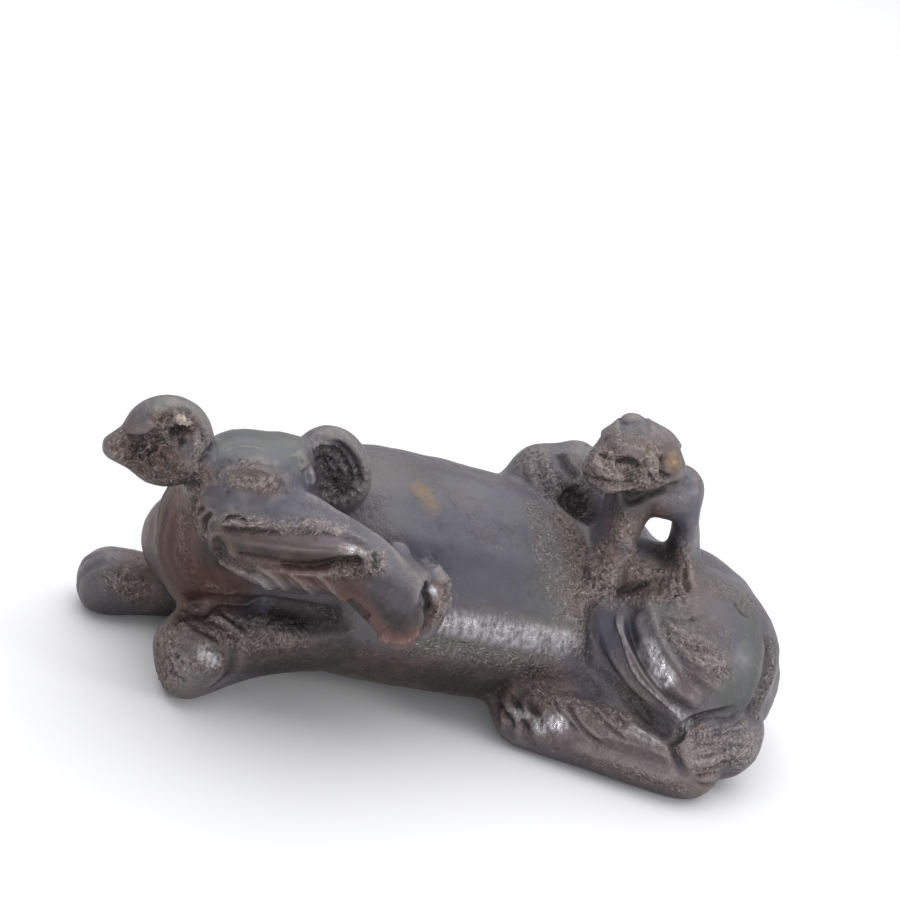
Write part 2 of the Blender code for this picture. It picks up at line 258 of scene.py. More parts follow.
class Skin:
    """The figure's fine skin as arrays: places, facing and marks, in plan millimetres.

    Attributes:
        FINEST, COARSEST: limits of the steps along a stroke, in millimetres.
        STEP_SHARE: a step as a share of the stroke's width.
        STEADY_ROUNDS: how often the facing along a stroke is evened out.
        LEAST_FACING: how much the skin has to face a stroke's way to be cut by it.
        SHARPNESS: the power that narrows a sharp cut towards its bottom.
        FOLD_LEAN: how steep a fold is across its middle.
        PIT_REACH: the smallest and largest pit's reach, in millimetres.
        PIT_DEPTH: the flattest and steepest pit's depth, as a share of its reach.
        PIT_SOOT: the dirt in the middle of a pit.
    """

    FINEST: float = 0.22
    COARSEST: float = 0.5
    STEP_SHARE: float = 0.3
    STEADY_ROUNDS: int = 4
    LEAST_FACING: float = 0.15
    SHARPNESS: float = 1.3
    FOLD_LEAN: float = 2.6
    PIT_REACH: tuple[float, float] = (0.22, 0.45)
    PIT_DEPTH: tuple[float, float] = (0.12, 0.3)
    PIT_SOOT: float = 0.5

    def __init__(self, mesh: bpy.types.Mesh) -> None:
        """Read a mesh in the row's frame.

        Args:
            mesh: the fine mesh to work on.
        """
        self.mesh = mesh
        count = len(mesh.vertices)
        flat = np.empty(count * 3, np.float32)
        mesh.vertices.foreach_get("co", flat)
        self.rest = flat.reshape(count, 3).astype(float) / MM - PLAN_ORIGIN
        self.places = self.rest.copy()
        self.facing = self.read_facing()
        edges = np.empty(len(mesh.edges) * 2, np.int32)
        mesh.edges.foreach_get("vertices", edges)
        self.edges = edges.reshape(-1, 2)
        self.valence = np.bincount(self.edges.ravel(), minlength=count).astype(float)
        loops = np.empty(len(mesh.loops), np.int32)
        mesh.loops.foreach_get("vertex_index", loops)
        starts = np.empty(len(mesh.polygons), np.int32)
        mesh.polygons.foreach_get("loop_start", starts)
        corners = np.split(loops, starts[1:])
        self.finder = BVHTree.FromPolygons(self.rest.tolist(), [c.tolist() for c in corners])
        self.marks = {mark: np.zeros(count) for mark in Mark}

    def read_facing(self) -> np.ndarray:
        """Read which way the skin faces.

        Returns:
            The outward direction at each vertex, one a row.
        """
        flat = np.empty(len(self.mesh.vertices) * 3, np.float32)
        self.mesh.vertex_normals.foreach_get("vector", flat)
        return flat.reshape(-1, 3).astype(float)

    def near_box(self, low: np.ndarray, high: np.ndarray) -> np.ndarray:
        """Return the numbers of the vertices at rest inside a box."""
        inside = np.all((self.rest > low) & (self.rest < high), axis=1)
        return np.flatnonzero(inside)

    def press(self, stroke: Stroke) -> None:
        """Work one stroke into the skin.

        Args:
            stroke: the stroke. Its path is first laid down on the skin.
        """
        step = min(self.COARSEST, max(self.FINEST, stroke.width * self.STEP_SHARE))
        line = smooth_path(stroke.path, step)
        hits = [self.finder.find_nearest(Vector(point)) for point in line]
        path = np.array([hit[0] for hit in hits])
        outward = np.array([hit[1] for hit in hits])
        for _ in range(self.STEADY_ROUNDS if len(path) > 2 else 0):
            outward[1:-1] = 0.5 * outward[1:-1] + 0.25 * (outward[:-2] + outward[2:])
        outward /= np.linalg.norm(outward, axis=1)[:, None]
        reach = stroke.width
        near = self.near_box(path.min(axis=0) - reach, path.max(axis=0) + reach)
        if not len(near):
            return
        points = self.rest[near]
        apart = np.linalg.norm(points[:, None, :] - path[None, :, :], axis=2)
        closest = apart.argmin(axis=1)
        base, normal, fade = path[closest], outward[closest], 1.0
        if len(path) > 1:
            ahead = np.gradient(path, axis=0)[closest]
            past = ((points - base) * ahead).sum(axis=1) / ((ahead**2).sum(axis=1) + 1e-12)
            back = np.where(closest == 0, 0.0, -0.5)
            on = np.where(closest == len(path) - 1, 0.0, 0.5)
            past = np.clip(past, back, on)
            base = base + ahead * past[:, None]
            normal = normal + np.gradient(outward, axis=0)[closest] * past[:, None]
            along = (closest + past) / (len(path) - 1)
            fade = ease(np.minimum(along, 1.0 - along) / max(stroke.run_out, 1e-3) + 0.15)
        across = np.linalg.norm(points - base, axis=1) / reach
        facing = (self.facing[near] * normal).sum(axis=1) > self.LEAST_FACING
        body = np.clip(1.0 - across**2, 0.0, 1.0)
        if stroke.cut is Cut.ROUND:
            share = body**2
        elif stroke.cut is Cut.SHARP:
            share = np.clip(1.0 - across, 0.0, 1.0) ** self.SHARPNESS
        else:
            side = np.cross(ahead, normal)
            side /= np.linalg.norm(side, axis=1)[:, None] + 1e-9
            lean = ((points - base) * side).sum(axis=1) / reach
            share = np.clip(lean * self.FOLD_LEAN, -1.0, 1.0) * body**2
        share = share * facing * fade
        self.places[near] -= normal * (share * stroke.depth)[:, None]
        if stroke.soot_and_shade:
            self.raise_mark(Mark.SOOT_AND_SHADE, near, np.clip(share, 0.0, 1.0) * stroke.soot_and_shade)

    def raise_mark(self, mark: Mark, near: np.ndarray, value: np.ndarray) -> None:
        """Raise a mark to a value at some vertices, where it isn't higher already."""
        held = self.marks[mark]
        held[near] = np.maximum(held[near], value)

    def weight(self, path: Path, reach: float) -> tuple[np.ndarray, np.ndarray]:
        """Weigh the vertices near a path.

        Args:
            path: the path.
            reach: how far from it the weight comes down to nothing.

        Returns:
            The vertices' numbers, and their weights, 1 near the path and 0 at the edge.
        """
        line = smooth_path(path, reach * 0.4)
        near = self.near_box(line.min(axis=0) - reach, line.max(axis=0) + reach)
        away = np.full(len(near), reach)
        for place in line:
            away = np.minimum(away, np.linalg.norm(self.rest[near] - place, axis=1))
        return near, ease(1.5 - 1.5 * away / reach)

    def stain(self, stain: Stain) -> None:
        """Lay a stain's mark on the skin."""
        near, share = self.weight(stain.path, stain.reach)
        self.raise_mark(stain.mark, near, share * stain.strength)

    def stipple(self, stipple: Stipple) -> None:
        """Wrinkle the skin under a stipple.

        Args:
            stipple: the stipple.
        """
        near, share = self.weight(stipple.path, stipple.reach)
        fold = np.empty(len(near))
        for index, place in enumerate(self.rest[near]):
            spot = Vector(place) / stipple.grain
            way = GRAIN_WAYS[int((noise.noise(spot * 0.4) + 1.0) * 6.0) % len(GRAIN_WAYS)]
            spot -= way * (0.6 * spot.dot(way))
            spot += noise.noise_vector(spot * 0.7) * 0.35
            rise = noise.noise(spot * 1.5) + 0.5 * noise.noise(spot * 3.3)
            fold[index] = 1.4 * rise - 0.5 * abs(rise)
        self.places[near] += self.facing[near] * (fold * share * stipple.height)[:, None]
        self.raise_mark(Mark.ROUGH, near, share)
        self.raise_mark(Mark.DUST, near, share * stipple.dust)

    def burnish(self, places: Iterable[Burnish], rounds: int) -> None:
        """Rub the old marks away in some places.

        Args:
            places: the places.
            rounds: how widely the skin is averaged there.
        """
        level = self.spread(self.places, rounds)
        share = np.zeros(len(self.rest))
        for place in places:
            near, weight = self.weight(place.path, place.reach)
            share[near] = np.maximum(share[near], weight * place.strength)
        self.places += (level - self.places) * share[:, None]

    def wander(self, height: float, size: float, offset: float) -> None:
        """Let the skin wander up and down as a hand-worked wax does.

        Args:
            height: how far it goes, in millimetres.
            size: the size of one swell.
            offset: moves the pattern.
        """
        shift = Vector((offset, offset, offset))
        swell = np.array([noise.noise(Vector(p) / size + shift) for p in self.rest])
        self.places += self.facing * (swell * height)[:, None]

    def pit(self, count: int, seed: int) -> None:
        """Scatter small casting pits and knocks.

        Args:
            count: how many there are.
            seed: seed of their places and sizes.
        """
        chance = np.random.default_rng(seed)
        for number in chance.integers(0, len(self.rest), count):
            centre = self.rest[number]
            reach = chance.uniform(*self.PIT_REACH)
            deep = reach * chance.uniform(*self.PIT_DEPTH)
            near = self.near_box(centre - reach, centre + reach)
            away = np.linalg.norm(self.rest[near] - centre, axis=1) / reach
            share = np.clip(1.0 - away**2, 0.0, 1.0) ** 2
            self.places[near] -= self.facing[number] * (share * deep)[:, None]
            self.raise_mark(Mark.SOOT_AND_SHADE, near, share * self.PIT_SOOT)

    def spread(self, values: np.ndarray, rounds: int) -> np.ndarray:
        """Average values over their neighbours on the skin, several times over.

        Args:
            values: one row a vertex.
            rounds: how many times.

        Returns:
            The averaged values.
        """
        first, second = self.edges[:, 0], self.edges[:, 1]
        ends = np.concatenate([first, second])
        starts = np.concatenate([second, first])
        count = len(self.rest)
        held = values.copy()
        for _ in range(rounds):
            for column in range(held.shape[1]):
                total = np.bincount(ends, held[starts, column], minlength=count)
                held[:, column] = 0.5 * held[:, column] + 0.5 * total / self.valence
        return held

    def read_relief(self, rounds: int, span: float) -> tuple[np.ndarray, np.ndarray]:
        """Tell hollows from crests at one scale.

        Args:
            rounds: how widely the skin is averaged.
            span: the relief in millimetres that counts as full.

        Returns:
            How hollow and how raised each vertex is, from 0 to 1.
        """
        level = self.spread(self.places, rounds)
        relief = ((level - self.places) * self.facing).sum(axis=1) / span
        return np.clip(relief, 0.0, 1.0), np.clip(-relief, 0.0, 1.0)

    def write(self) -> None:
        """Write the worked places back to the mesh."""
        world = (self.places + PLAN_ORIGIN) * MM
        world[:, 2] = np.maximum(world[:, 2], 0.0)
        self.mesh.vertices.foreach_set("co", world.astype(np.float32).ravel())
        self.mesh.update()
        self.facing = self.read_facing()


class Part:
    """One part of the figure: what is rubbed, cut and roughened on it."""

    def burnishes(self) -> list[Burnish]:
        """Return the places that are rubbed smooth first."""
        return []

    def strokes(self) -> list[Stroke]:
        """Return the tool strokes."""
        return []

    def stipples(self) -> list[Stipple]:
        """Return the rough places."""
        return []


@dataclass
class Head(Part):
    """The head turned back over the flank: brow, eyes and cheek.

    Attributes:
        eye: middle of the near eye.
        eye_long: half its length, along the head.
        eye_tall: half its height.
    """

    eye: Point = (-24.7, -9.2, 28.2)
    eye_long: Point = (2.75, -0.25, 0.2)
    eye_tall: Point = (0.0, 0.7, 0.9)

    def burnishes(self) -> list[Burnish]:
        """Return the eye's old ring and the old brow, to be cut again."""
        return [
            Burnish(((-27.0, -8.8, 28.4), (-22.2, -8.8, 28.4)), 3.4, 0.9),
            Burnish(((-26.4, -5.4, 30.4), (-20.2, -4.8, 29.8)), 4.6, 1.0),
        ]

    def ring(self, size: float) -> Path:
        """Draw a closed ring round the near eye.

        Args:
            size: its size as a share of the eye's.

        Returns:
            The ring's path.
        """
        places = []
        for step in range(15):
            angle = math.tau * step / 14
            place = Vector(self.eye) + Vector(self.eye_long) * math.cos(angle) * size
            place += Vector(self.eye_tall) * math.sin(angle) * size
            places.append(tuple(place))
        return tuple(places)

    def strokes(self) -> list[Stroke]:
        """List the strokes of the brow, eyes and cheek.

        Returns:
            The strokes, in the order they are cut.
        """
        crest = ((-19.7, -8.2, 27.2), (-16.1, -8.3, 25.5), (-12.7, -9.0, 24.0), (-10.2, -10.6, 23.2),
                 (-8.2, -13.0, 22.2))
        brow = ((-29.6, -8.6, 29.0), (-28.1, -7.9, 29.7), (-26.0, -6.5, 29.9), (-24.1, -6.6, 30.2),
                (-22.8, -6.8, 29.9))
        return [
            Stroke(((-20.0, -5.2, 29.1), (-19.3, -5.8, 28.3)), 1.5, -0.3, run_out=0.0),
            Stroke(brow, 0.4, -0.14, Cut.SHARP),
            Stroke(crest, 1.3, -0.4, Cut.SHARP),
            Stroke(((-22.4, -9.2, 26.6), (-18.4, -9.4, 25.6), (-14.4, -9.8, 24.5)), 2.2, 0.22),
            Stroke(self.ring(0.95)[:9], 0.4, -0.14, Cut.SHARP, 0.0, 0.2),
            Stroke(self.ring(0.60)[6:], 0.3, -0.10, Cut.SHARP, 0.0, 0.2),
            Stroke(self.ring(0.34), 0.3, 0.10, Cut.ROUND, 0.25, 0.0),
            Stroke(((-21.2, -9.3, 27.6), (-20.5, -8.9, 27.3), (-20.4, -9.2, 26.8)),
                   0.3, -0.14, Cut.SHARP, 0.0, 0.1),
            Stroke(((-23.2, -9.4, 27.7),), 0.6, -0.28),
            Stroke(((-22.4, -9.2, 28.2),), 0.5, -0.28),
            Stroke(((-21.8, -9.2, 27.8),), 0.45, -0.22),
            Stroke(((-21.5, -8.8, 28.2), (-20.8, -9.0, 27.5), (-20.3, -9.2, 26.8)), 0.4, 0.14, soot_and_shade=0.25),
            Stroke(((-18.7, -5.7, 28.2), (-17.8, -6.0, 27.1), (-18.0, -6.5, 26.5)), 0.9, -0.35),
            Stroke(((-26.3, -10.1, 23.7), (-25.4, -10.5, 24.5), (-24.0, -10.7, 24.3)),
                   0.45, 0.4, Cut.SHARP, 0.8),
            Stroke(((-28.0, -8.9, 24.1), (-28.4, -8.2, 22.7), (-27.8, -7.7, 21.1)),
                   0.7, 0.45, Cut.FOLD, 0.6),
            Stroke(((-27.2, -9.8, 24.2), (-27.5, -8.7, 22.5), (-27.0, -8.5, 21.2)),
                   0.7, 0.45, Cut.FOLD, 0.6),
            Stroke(((-28.9, -8.2, 25.0), (-29.2, -7.6, 23.6), (-28.8, -7.0, 22.2)),
                   0.5, 0.3, Cut.SHARP, 0.6),
        ]

    def stipples(self) -> list[Stipple]:
        """Return the rough eye, temple and brow."""
        return [
            Stipple(((-26.8, -9.0, 27.9), (-24.7, -9.6, 27.7), (-22.0, -9.1, 27.9)), 1.1, 0.07, 0.45, 0.25),
            Stipple(((-26.0, -8.0, 29.4), (-23.0, -8.2, 29.0)), 0.8, 0.05, 0.5, 0.2),
            Stipple(((-28.9, -8.6, 27.0), (-29.2, -7.6, 24.4), (-27.9, -7.6, 21.0)), 1.7, 0.16, 0.8, 0.25),
        ]


@dataclass
class Ears(Part):
    """The two cupped ears, their folded lips and dirty hollows.

    Attributes:
        near_lip: the near ear's folded lip.
        near_edge: the upper edge of its cup.
        far_rim: the far ear's rim.
    """

    near_lip: Path = (
        (-37.4, -7.6, 29.8), (-36.4, -7.5, 30.4), (-35.2, -8.3, 31.0), (-34.6, -8.7, 31.6),
        (-34.1, -8.8, 32.4),
    )
    near_edge: Path = (
        (-33.9, -8.6, 32.6), (-33.2, -8.4, 33.2), (-32.4, -7.8, 33.7), (-31.2, -7.6, 33.7),
        (-30.3, -8.0, 33.0), (-29.5, -8.3, 31.9), (-29.1, -8.5, 30.7),
    )
    far_rim: Path = (
        (-17.1, -1.0, 30.3), (-15.1, -1.4, 30.3), (-13.6, -2.1, 29.3), (-12.2, -2.4, 27.4),
        (-11.5, -2.1, 25.1), (-12.4, -2.0, 23.2),
    )

    def burnishes(self) -> list[Burnish]:
        """Return the near ear's old cup, to be cut again."""
        return [Burnish(((-36.0, -8.2, 28.8), (-33.4, -8.8, 29.4), (-31.6, -9.0, 30.4)), 3.2, 0.7)]

    def strokes(self) -> list[Stroke]:
        """List the strokes of both ears.

        Returns:
            The strokes, in the order they are cut.
        """
        laid = [
            Stroke(((-32.2, -8.4, 32.3), (-31.6, -8.4, 31.0)), 2.5, 0.8, Cut.ROUND, 0.45, 0.0),
            Stroke(((-36.4, -7.6, 29.4), (-34.4, -8.0, 29.9), (-32.8, -8.2, 30.6)), 1.6, 0.5, soot_and_shade=0.4),
            Stroke(self.near_lip, 1.2, 0.4, Cut.FOLD, 0.2),
            Stroke(self.near_lip, 0.45, -0.3, Cut.SHARP, 0.0, 0.1),
            Stroke(self.near_edge, 0.5, 0.25, Cut.SHARP, 0.3, 0.1),
            Stroke(((-31.8, -8.2, 31.2), (-31.2, -8.2, 30.4)), 0.8, 0.35, Cut.ROUND, 0.8, 0.0),
            Stroke(((-31.8, -8.3, 33.1), (-31.0, -8.3, 32.4)), 0.7, -0.45, run_out=0.0),
            Stroke(((-33.0, -8.3, 31.2), (-32.4, -8.3, 30.2)), 0.6, -0.3, run_out=0.0),
            Stroke(((-27.9, -7.3, 30.5), (-28.6, -8.6, 29.4), (-29.2, -8.8, 28.4)), 0.8, 0.35, soot_and_shade=0.6),
            Stroke(((-16.6, -2.2, 29.2), (-14.9, -2.3, 28.6), (-13.4, -2.6, 27.0), (-13.0, -2.8, 25.0)),
                   1.3, 0.7, soot_and_shade=0.3),
            Stroke(self.far_rim, 0.7, -0.2),
            Stroke(((-17.9, -3.6, 28.9), (-16.0, -1.9, 28.9), (-14.3, -2.4, 27.6), (-13.3, -2.7, 25.0)),
                   0.7, 0.35, Cut.FOLD, 0.4),
            Stroke(((-17.4, -3.4, 27.6), (-15.6, -2.2, 26.6), (-14.6, -2.4, 25.0)), 0.5, -0.3, Cut.SHARP),
            Stroke(((-16.6, -3.4, 23.8), (-14.8, -2.3, 22.9), (-13.2, -2.2, 23.2)), 0.8, -0.4),
        ]
        for step in range(4):
            out = 0.42 * step
            ring = (
                (-31.0 + out, -7.8, 33.6 - 0.3 * out), (-30.0 + out, -8.4, 32.2),
                (-29.7 + out, -8.7, 30.4), (-30.4 + out, -8.9, 28.8),
            )
            laid.append(Stroke(ring, 0.34, 0.15, Cut.SHARP, 0.4))
        return laid

    def stipples(self) -> list[Stipple]:
        """Return the rough hollows of both ears."""
        return [
            Stipple(((-36.4, -7.6, 29.2), (-34.1, -7.8, 29.6), (-32.4, -8.2, 30.8), (-31.8, -8.2, 32.6)),
                    2.3, 0.24, 0.8, 0.35),
            Stipple(((-33.2, -8.5, 32.6), (-32.0, -8.1, 33.2), (-30.8, -8.3, 32.4)), 1.3, 0.24, 0.5, 0.4),
            Stipple(((-29.6, -8.4, 31.4), (-29.2, -8.8, 29.4)), 1.5, 0.12, 0.7, 0.3),
            Stipple(((-34.8, -7.9, 28.0), (-32.7, -8.7, 27.2), (-30.6, -8.6, 27.4)), 2.2, 0.12, 0.8, 0.15),
            Stipple(((-16.3, -1.8, 28.2), (-15.0, -2.0, 26.4)), 2.2, 0.2, 0.9, 0.15),
            Stipple(((-15.7, -2.1, 24.2), (-14.1, -2.2, 23.6), (-12.9, -2.4, 24.9), (-12.7, -2.9, 26.7)),
                    1.3, 0.2, 0.7, 0.9),
        ]


@dataclass
class Mouth(Part):
    """The long mouth: its raised bar, the leaf below it, the lips and the nostril.

    Attributes:
        rim: the raised edge round the back of the mouth.
        bar: the middle of the raised bar.
    """

    rim: Path = (
        (-25.8, -9.6, 22.5), (-26.6, -9.0, 21.7), (-26.7, -8.2, 20.3), (-26.0, -8.0, 18.7),
        (-24.7, -9.9, 18.8), (-23.0, -10.7, 18.7), (-21.8, -11.2, 18.5), (-19.9, -10.8, 17.2),
    )
    bar: Path = (
        (-25.0, -9.8, 21.7), (-22.3, -11.1, 22.3), (-18.3, -12.2, 22.9), (-15.2, -12.4, 23.3),
        (-13.1, -12.3, 23.2),
    )

    def burnishes(self) -> list[Burnish]:
        """Return the mouth's old slots, to be cut again."""
        return [Burnish(((-24.6, -10.0, 21.0), (-18.6, -12.0, 21.4), (-13.4, -12.6, 22.0)), 2.8, 0.7)]

    def strokes(self) -> list[Stroke]:
        """List the strokes of the mouth and lips.

        Returns:
            The strokes, in the order they are cut.
        """
        top = ((-26.2, -9.4, 22.4), (-25.0, -10.0, 23.0), (-23.2, -10.8, 23.4), (-20.5, -11.1, 23.8))
        over = ((-20.5, -11.1, 23.9), (-16.3, -11.1, 24.2), (-13.6, -11.3, 23.9), (-11.9, -11.7, 23.1))
        ledge = ((-24.6, -9.9, 20.4), (-22.4, -11.1, 20.6), (-20.2, -11.9, 20.9))
        under = ((-20.6, -11.8, 20.8), (-17.3, -12.3, 21.4), (-15.0, -12.6, 22.2), (-12.7, -12.7, 22.8))
        flap = (
            (-11.6, -14.1, 17.9), (-10.5, -14.1, 16.5), (-9.2, -14.4, 15.4), (-7.6, -15.0, 15.4),
            (-6.4, -14.7, 16.2), (-5.7, -12.6, 17.8), (-6.3, -13.2, 21.0),
        )
        return [
            Stroke(self.bar, 1.9, -0.15),
            Stroke(top, 0.6, 0.3, Cut.SHARP, 0.6),
            Stroke(over, 0.6, 0.22, soot_and_shade=0.3),
            Stroke(ledge, 1.1, 0.5),
            Stroke(under, 0.8, 0.75, Cut.SHARP, 0.8, 0.12),
            Stroke(((-20.0, -12.1, 20.2), (-16.6, -12.9, 20.8), (-13.4, -13.4, 21.6)), 0.7, -0.25),
            Stroke(self.rim, 0.6, -0.55, Cut.SHARP),
            Stroke(((-25.6, -9.0, 21.2), (-25.6, -8.9, 19.9), (-24.4, -9.8, 19.3), (-22.2, -11.0, 19.4)),
                   0.9, 0.3),
            Stroke(((-11.9, -11.7, 23.1), (-11.4, -12.7, 22.9), (-11.9, -13.5, 22.2)), 0.6, 0.4, soot_and_shade=0.7),
            Stroke(((-21.9, -11.0, 19.6), (-20.4, -11.7, 18.9), (-18.6, -11.4, 17.5)),
                   0.45, -0.25, Cut.SHARP),
            Stroke(((-19.5, -12.0, 20.3), (-17.8, -12.2, 19.0), (-15.9, -12.0, 17.6)),
                   0.36, -0.42, Cut.SHARP),
            Stroke(((-17.1, -12.8, 20.9), (-15.2, -12.8, 19.4), (-13.3, -12.9, 17.9)),
                   0.36, -0.42, Cut.SHARP),
            Stroke(((-20.2, -11.6, 19.6), (-18.8, -11.8, 18.4), (-17.2, -11.6, 17.2)), 0.5, 0.14, soot_and_shade=0.3),
            Stroke(((-17.9, -12.4, 20.2), (-16.3, -12.5, 19.0), (-14.6, -12.4, 17.6)), 0.5, 0.14, soot_and_shade=0.3),
            Stroke(((-13.6, -12.8, 17.8), (-12.6, -13.2, 17.2), (-11.4, -13.6, 16.6)),
                   1.8, 0.7, run_out=0.0),
            Stroke(((-9.8, -14.2, 15.6), (-8.8, -14.4, 15.2)), 1.4, -0.35, run_out=0.0),
            Stroke(flap, 0.7, -0.3),
            Stroke(((-9.8, -14.4, 18.2), (-8.2, -15.0, 17.2)), 1.6, 0.2),
            Stroke(((-6.4, -13.4, 21.4), (-5.6, -12.6, 19.2), (-5.6, -13.0, 17.4), (-6.2, -14.5, 16.3)),
                   0.62, 0.65, Cut.ROUND, 1.0, 0.1),
            Stroke(((-9.6, -9.6, 22.6), (-9.9, -8.6, 23.0), (-8.6, -8.0, 23.2)), 0.5, 0.35, soot_and_shade=0.6),
            Stroke(((-4.6, -7.8, 19.9), (-4.2, -9.6, 19.4), (-4.3, -11.0, 17.8)), 0.6, 0.3, soot_and_shade=0.5),
            Stroke(((-5.2, -6.0, 19.8), (-3.8, -7.6, 19.6), (-3.4, -9.8, 18.8), (-3.6, -11.6, 17.0)),
                   1.1, -0.5),
            Stroke(((-4.8, -9.4, 20.2), (-4.0, -10.6, 19.8)), 1.2, -0.5, run_out=0.0),
        ]

    def stipples(self) -> list[Stipple]:
        """Return the rough bands above and beside the bar."""
        return [
            Stipple(((-25.6, -9.9, 24.0), (-22.0, -10.8, 24.6), (-17.6, -10.9, 25.0), (-14.6, -10.6, 24.8)),
                    1.5, 0.08, 0.5, 0.9),
            Stipple(((-15.1, -13.0, 21.3), (-13.0, -13.4, 21.9), (-11.2, -13.3, 22.5)),
                    1.2, 0.18, 0.5, 0.8),
            Stipple(((-12.2, -12.4, 23.2), (-10.8, -12.2, 23.3)), 1.0, 0.16, 0.5, 0.7),
            Stipple(((-25.6, -8.6, 18.9), (-22.8, -10.4, 18.3), (-19.8, -10.8, 17.0)), 1.1, 0.14, 0.6, 0.5),
            Stipple(((-4.4, -6.6, 19.6), (-3.6, -9.8, 19.0), (-4.0, -12.0, 17.4)), 2.0, 0.2, 0.8, 0.45),
        ]


@dataclass
class Neck(Part):
    """The neck and chest in front, with the long folds down it."""

    def strokes(self) -> list[Stroke]:
        """List the folds of the neck and the seam where it meets the foreleg.

        Returns:
            The strokes, in the order they are cut.
        """
        folds = [
            ((-31.2, -0.6, 19.4), (-31.1, 0.4, 16.1), (-30.7, 2.1, 12.5)),
            ((-30.0, -4.9, 22.0), (-30.0, -4.7, 18.8), (-29.5, -3.8, 15.2), (-27.4, -4.1, 12.1)),
            ((-29.4, -7.4, 24.1), (-28.7, -6.2, 19.0), (-27.5, -5.2, 14.5)),
            ((-27.6, -7.3, 20.0), (-26.7, -6.8, 17.3), (-25.2, -5.4, 12.9)),
            ((-30.8, -3.2, 21.0), (-30.8, -2.6, 17.6), (-30.2, -1.2, 13.4)),
            ((-28.6, -7.8, 25.0), (-28.2, -6.8, 21.2), (-27.2, -6.0, 17.0)),
            ((-25.6, -7.4, 17.8), (-24.2, -6.2, 14.6), (-22.4, -5.0, 12.4)),
        ]
        seam = ((-27.6, -3.8, 9.4), (-26.0, -4.0, 10.4), (-24.0, -4.3, 11.0), (-20.0, -4.6, 11.3),
                (-16.2, -5.6, 11.6), (-12.0, -6.6, 13.0))
        laid = [Stroke(fold, 0.8, 0.2, soot_and_shade=0.2) for fold in folds]
        laid.append(Stroke(seam, 1.5, 0.4, Cut.ROUND, 0.2, 0.1))
        laid.append(Stroke(seam, 0.6, 0.35, Cut.SHARP, 0.7, 0.1))
        return laid

    def stipples(self) -> list[Stipple]:
        """Return the rough seam where the neck meets the foreleg."""
        return [
            Stipple(((-27.0, -4.4, 9.6), (-24.6, -5.0, 10.2), (-22.0, -5.2, 10.4)), 1.2, 0.24, 0.7, 0.7),
            Stipple(((-21.0, -5.2, 10.4), (-17.0, -5.8, 10.8), (-13.0, -6.4, 12.0)), 1.3, 0.2, 0.8, 0.25),
            Stipple(((-25.6, -4.8, 13.4), (-23.2, -4.8, 12.4)), 1.2, 0.18, 0.7, 0.2),
            Stipple(((-29.8, -5.6, 21.0), (-29.0, -5.4, 16.0), (-27.6, -4.6, 12.6)), 1.6, 0.08, 0.6, 0.12),
        ]


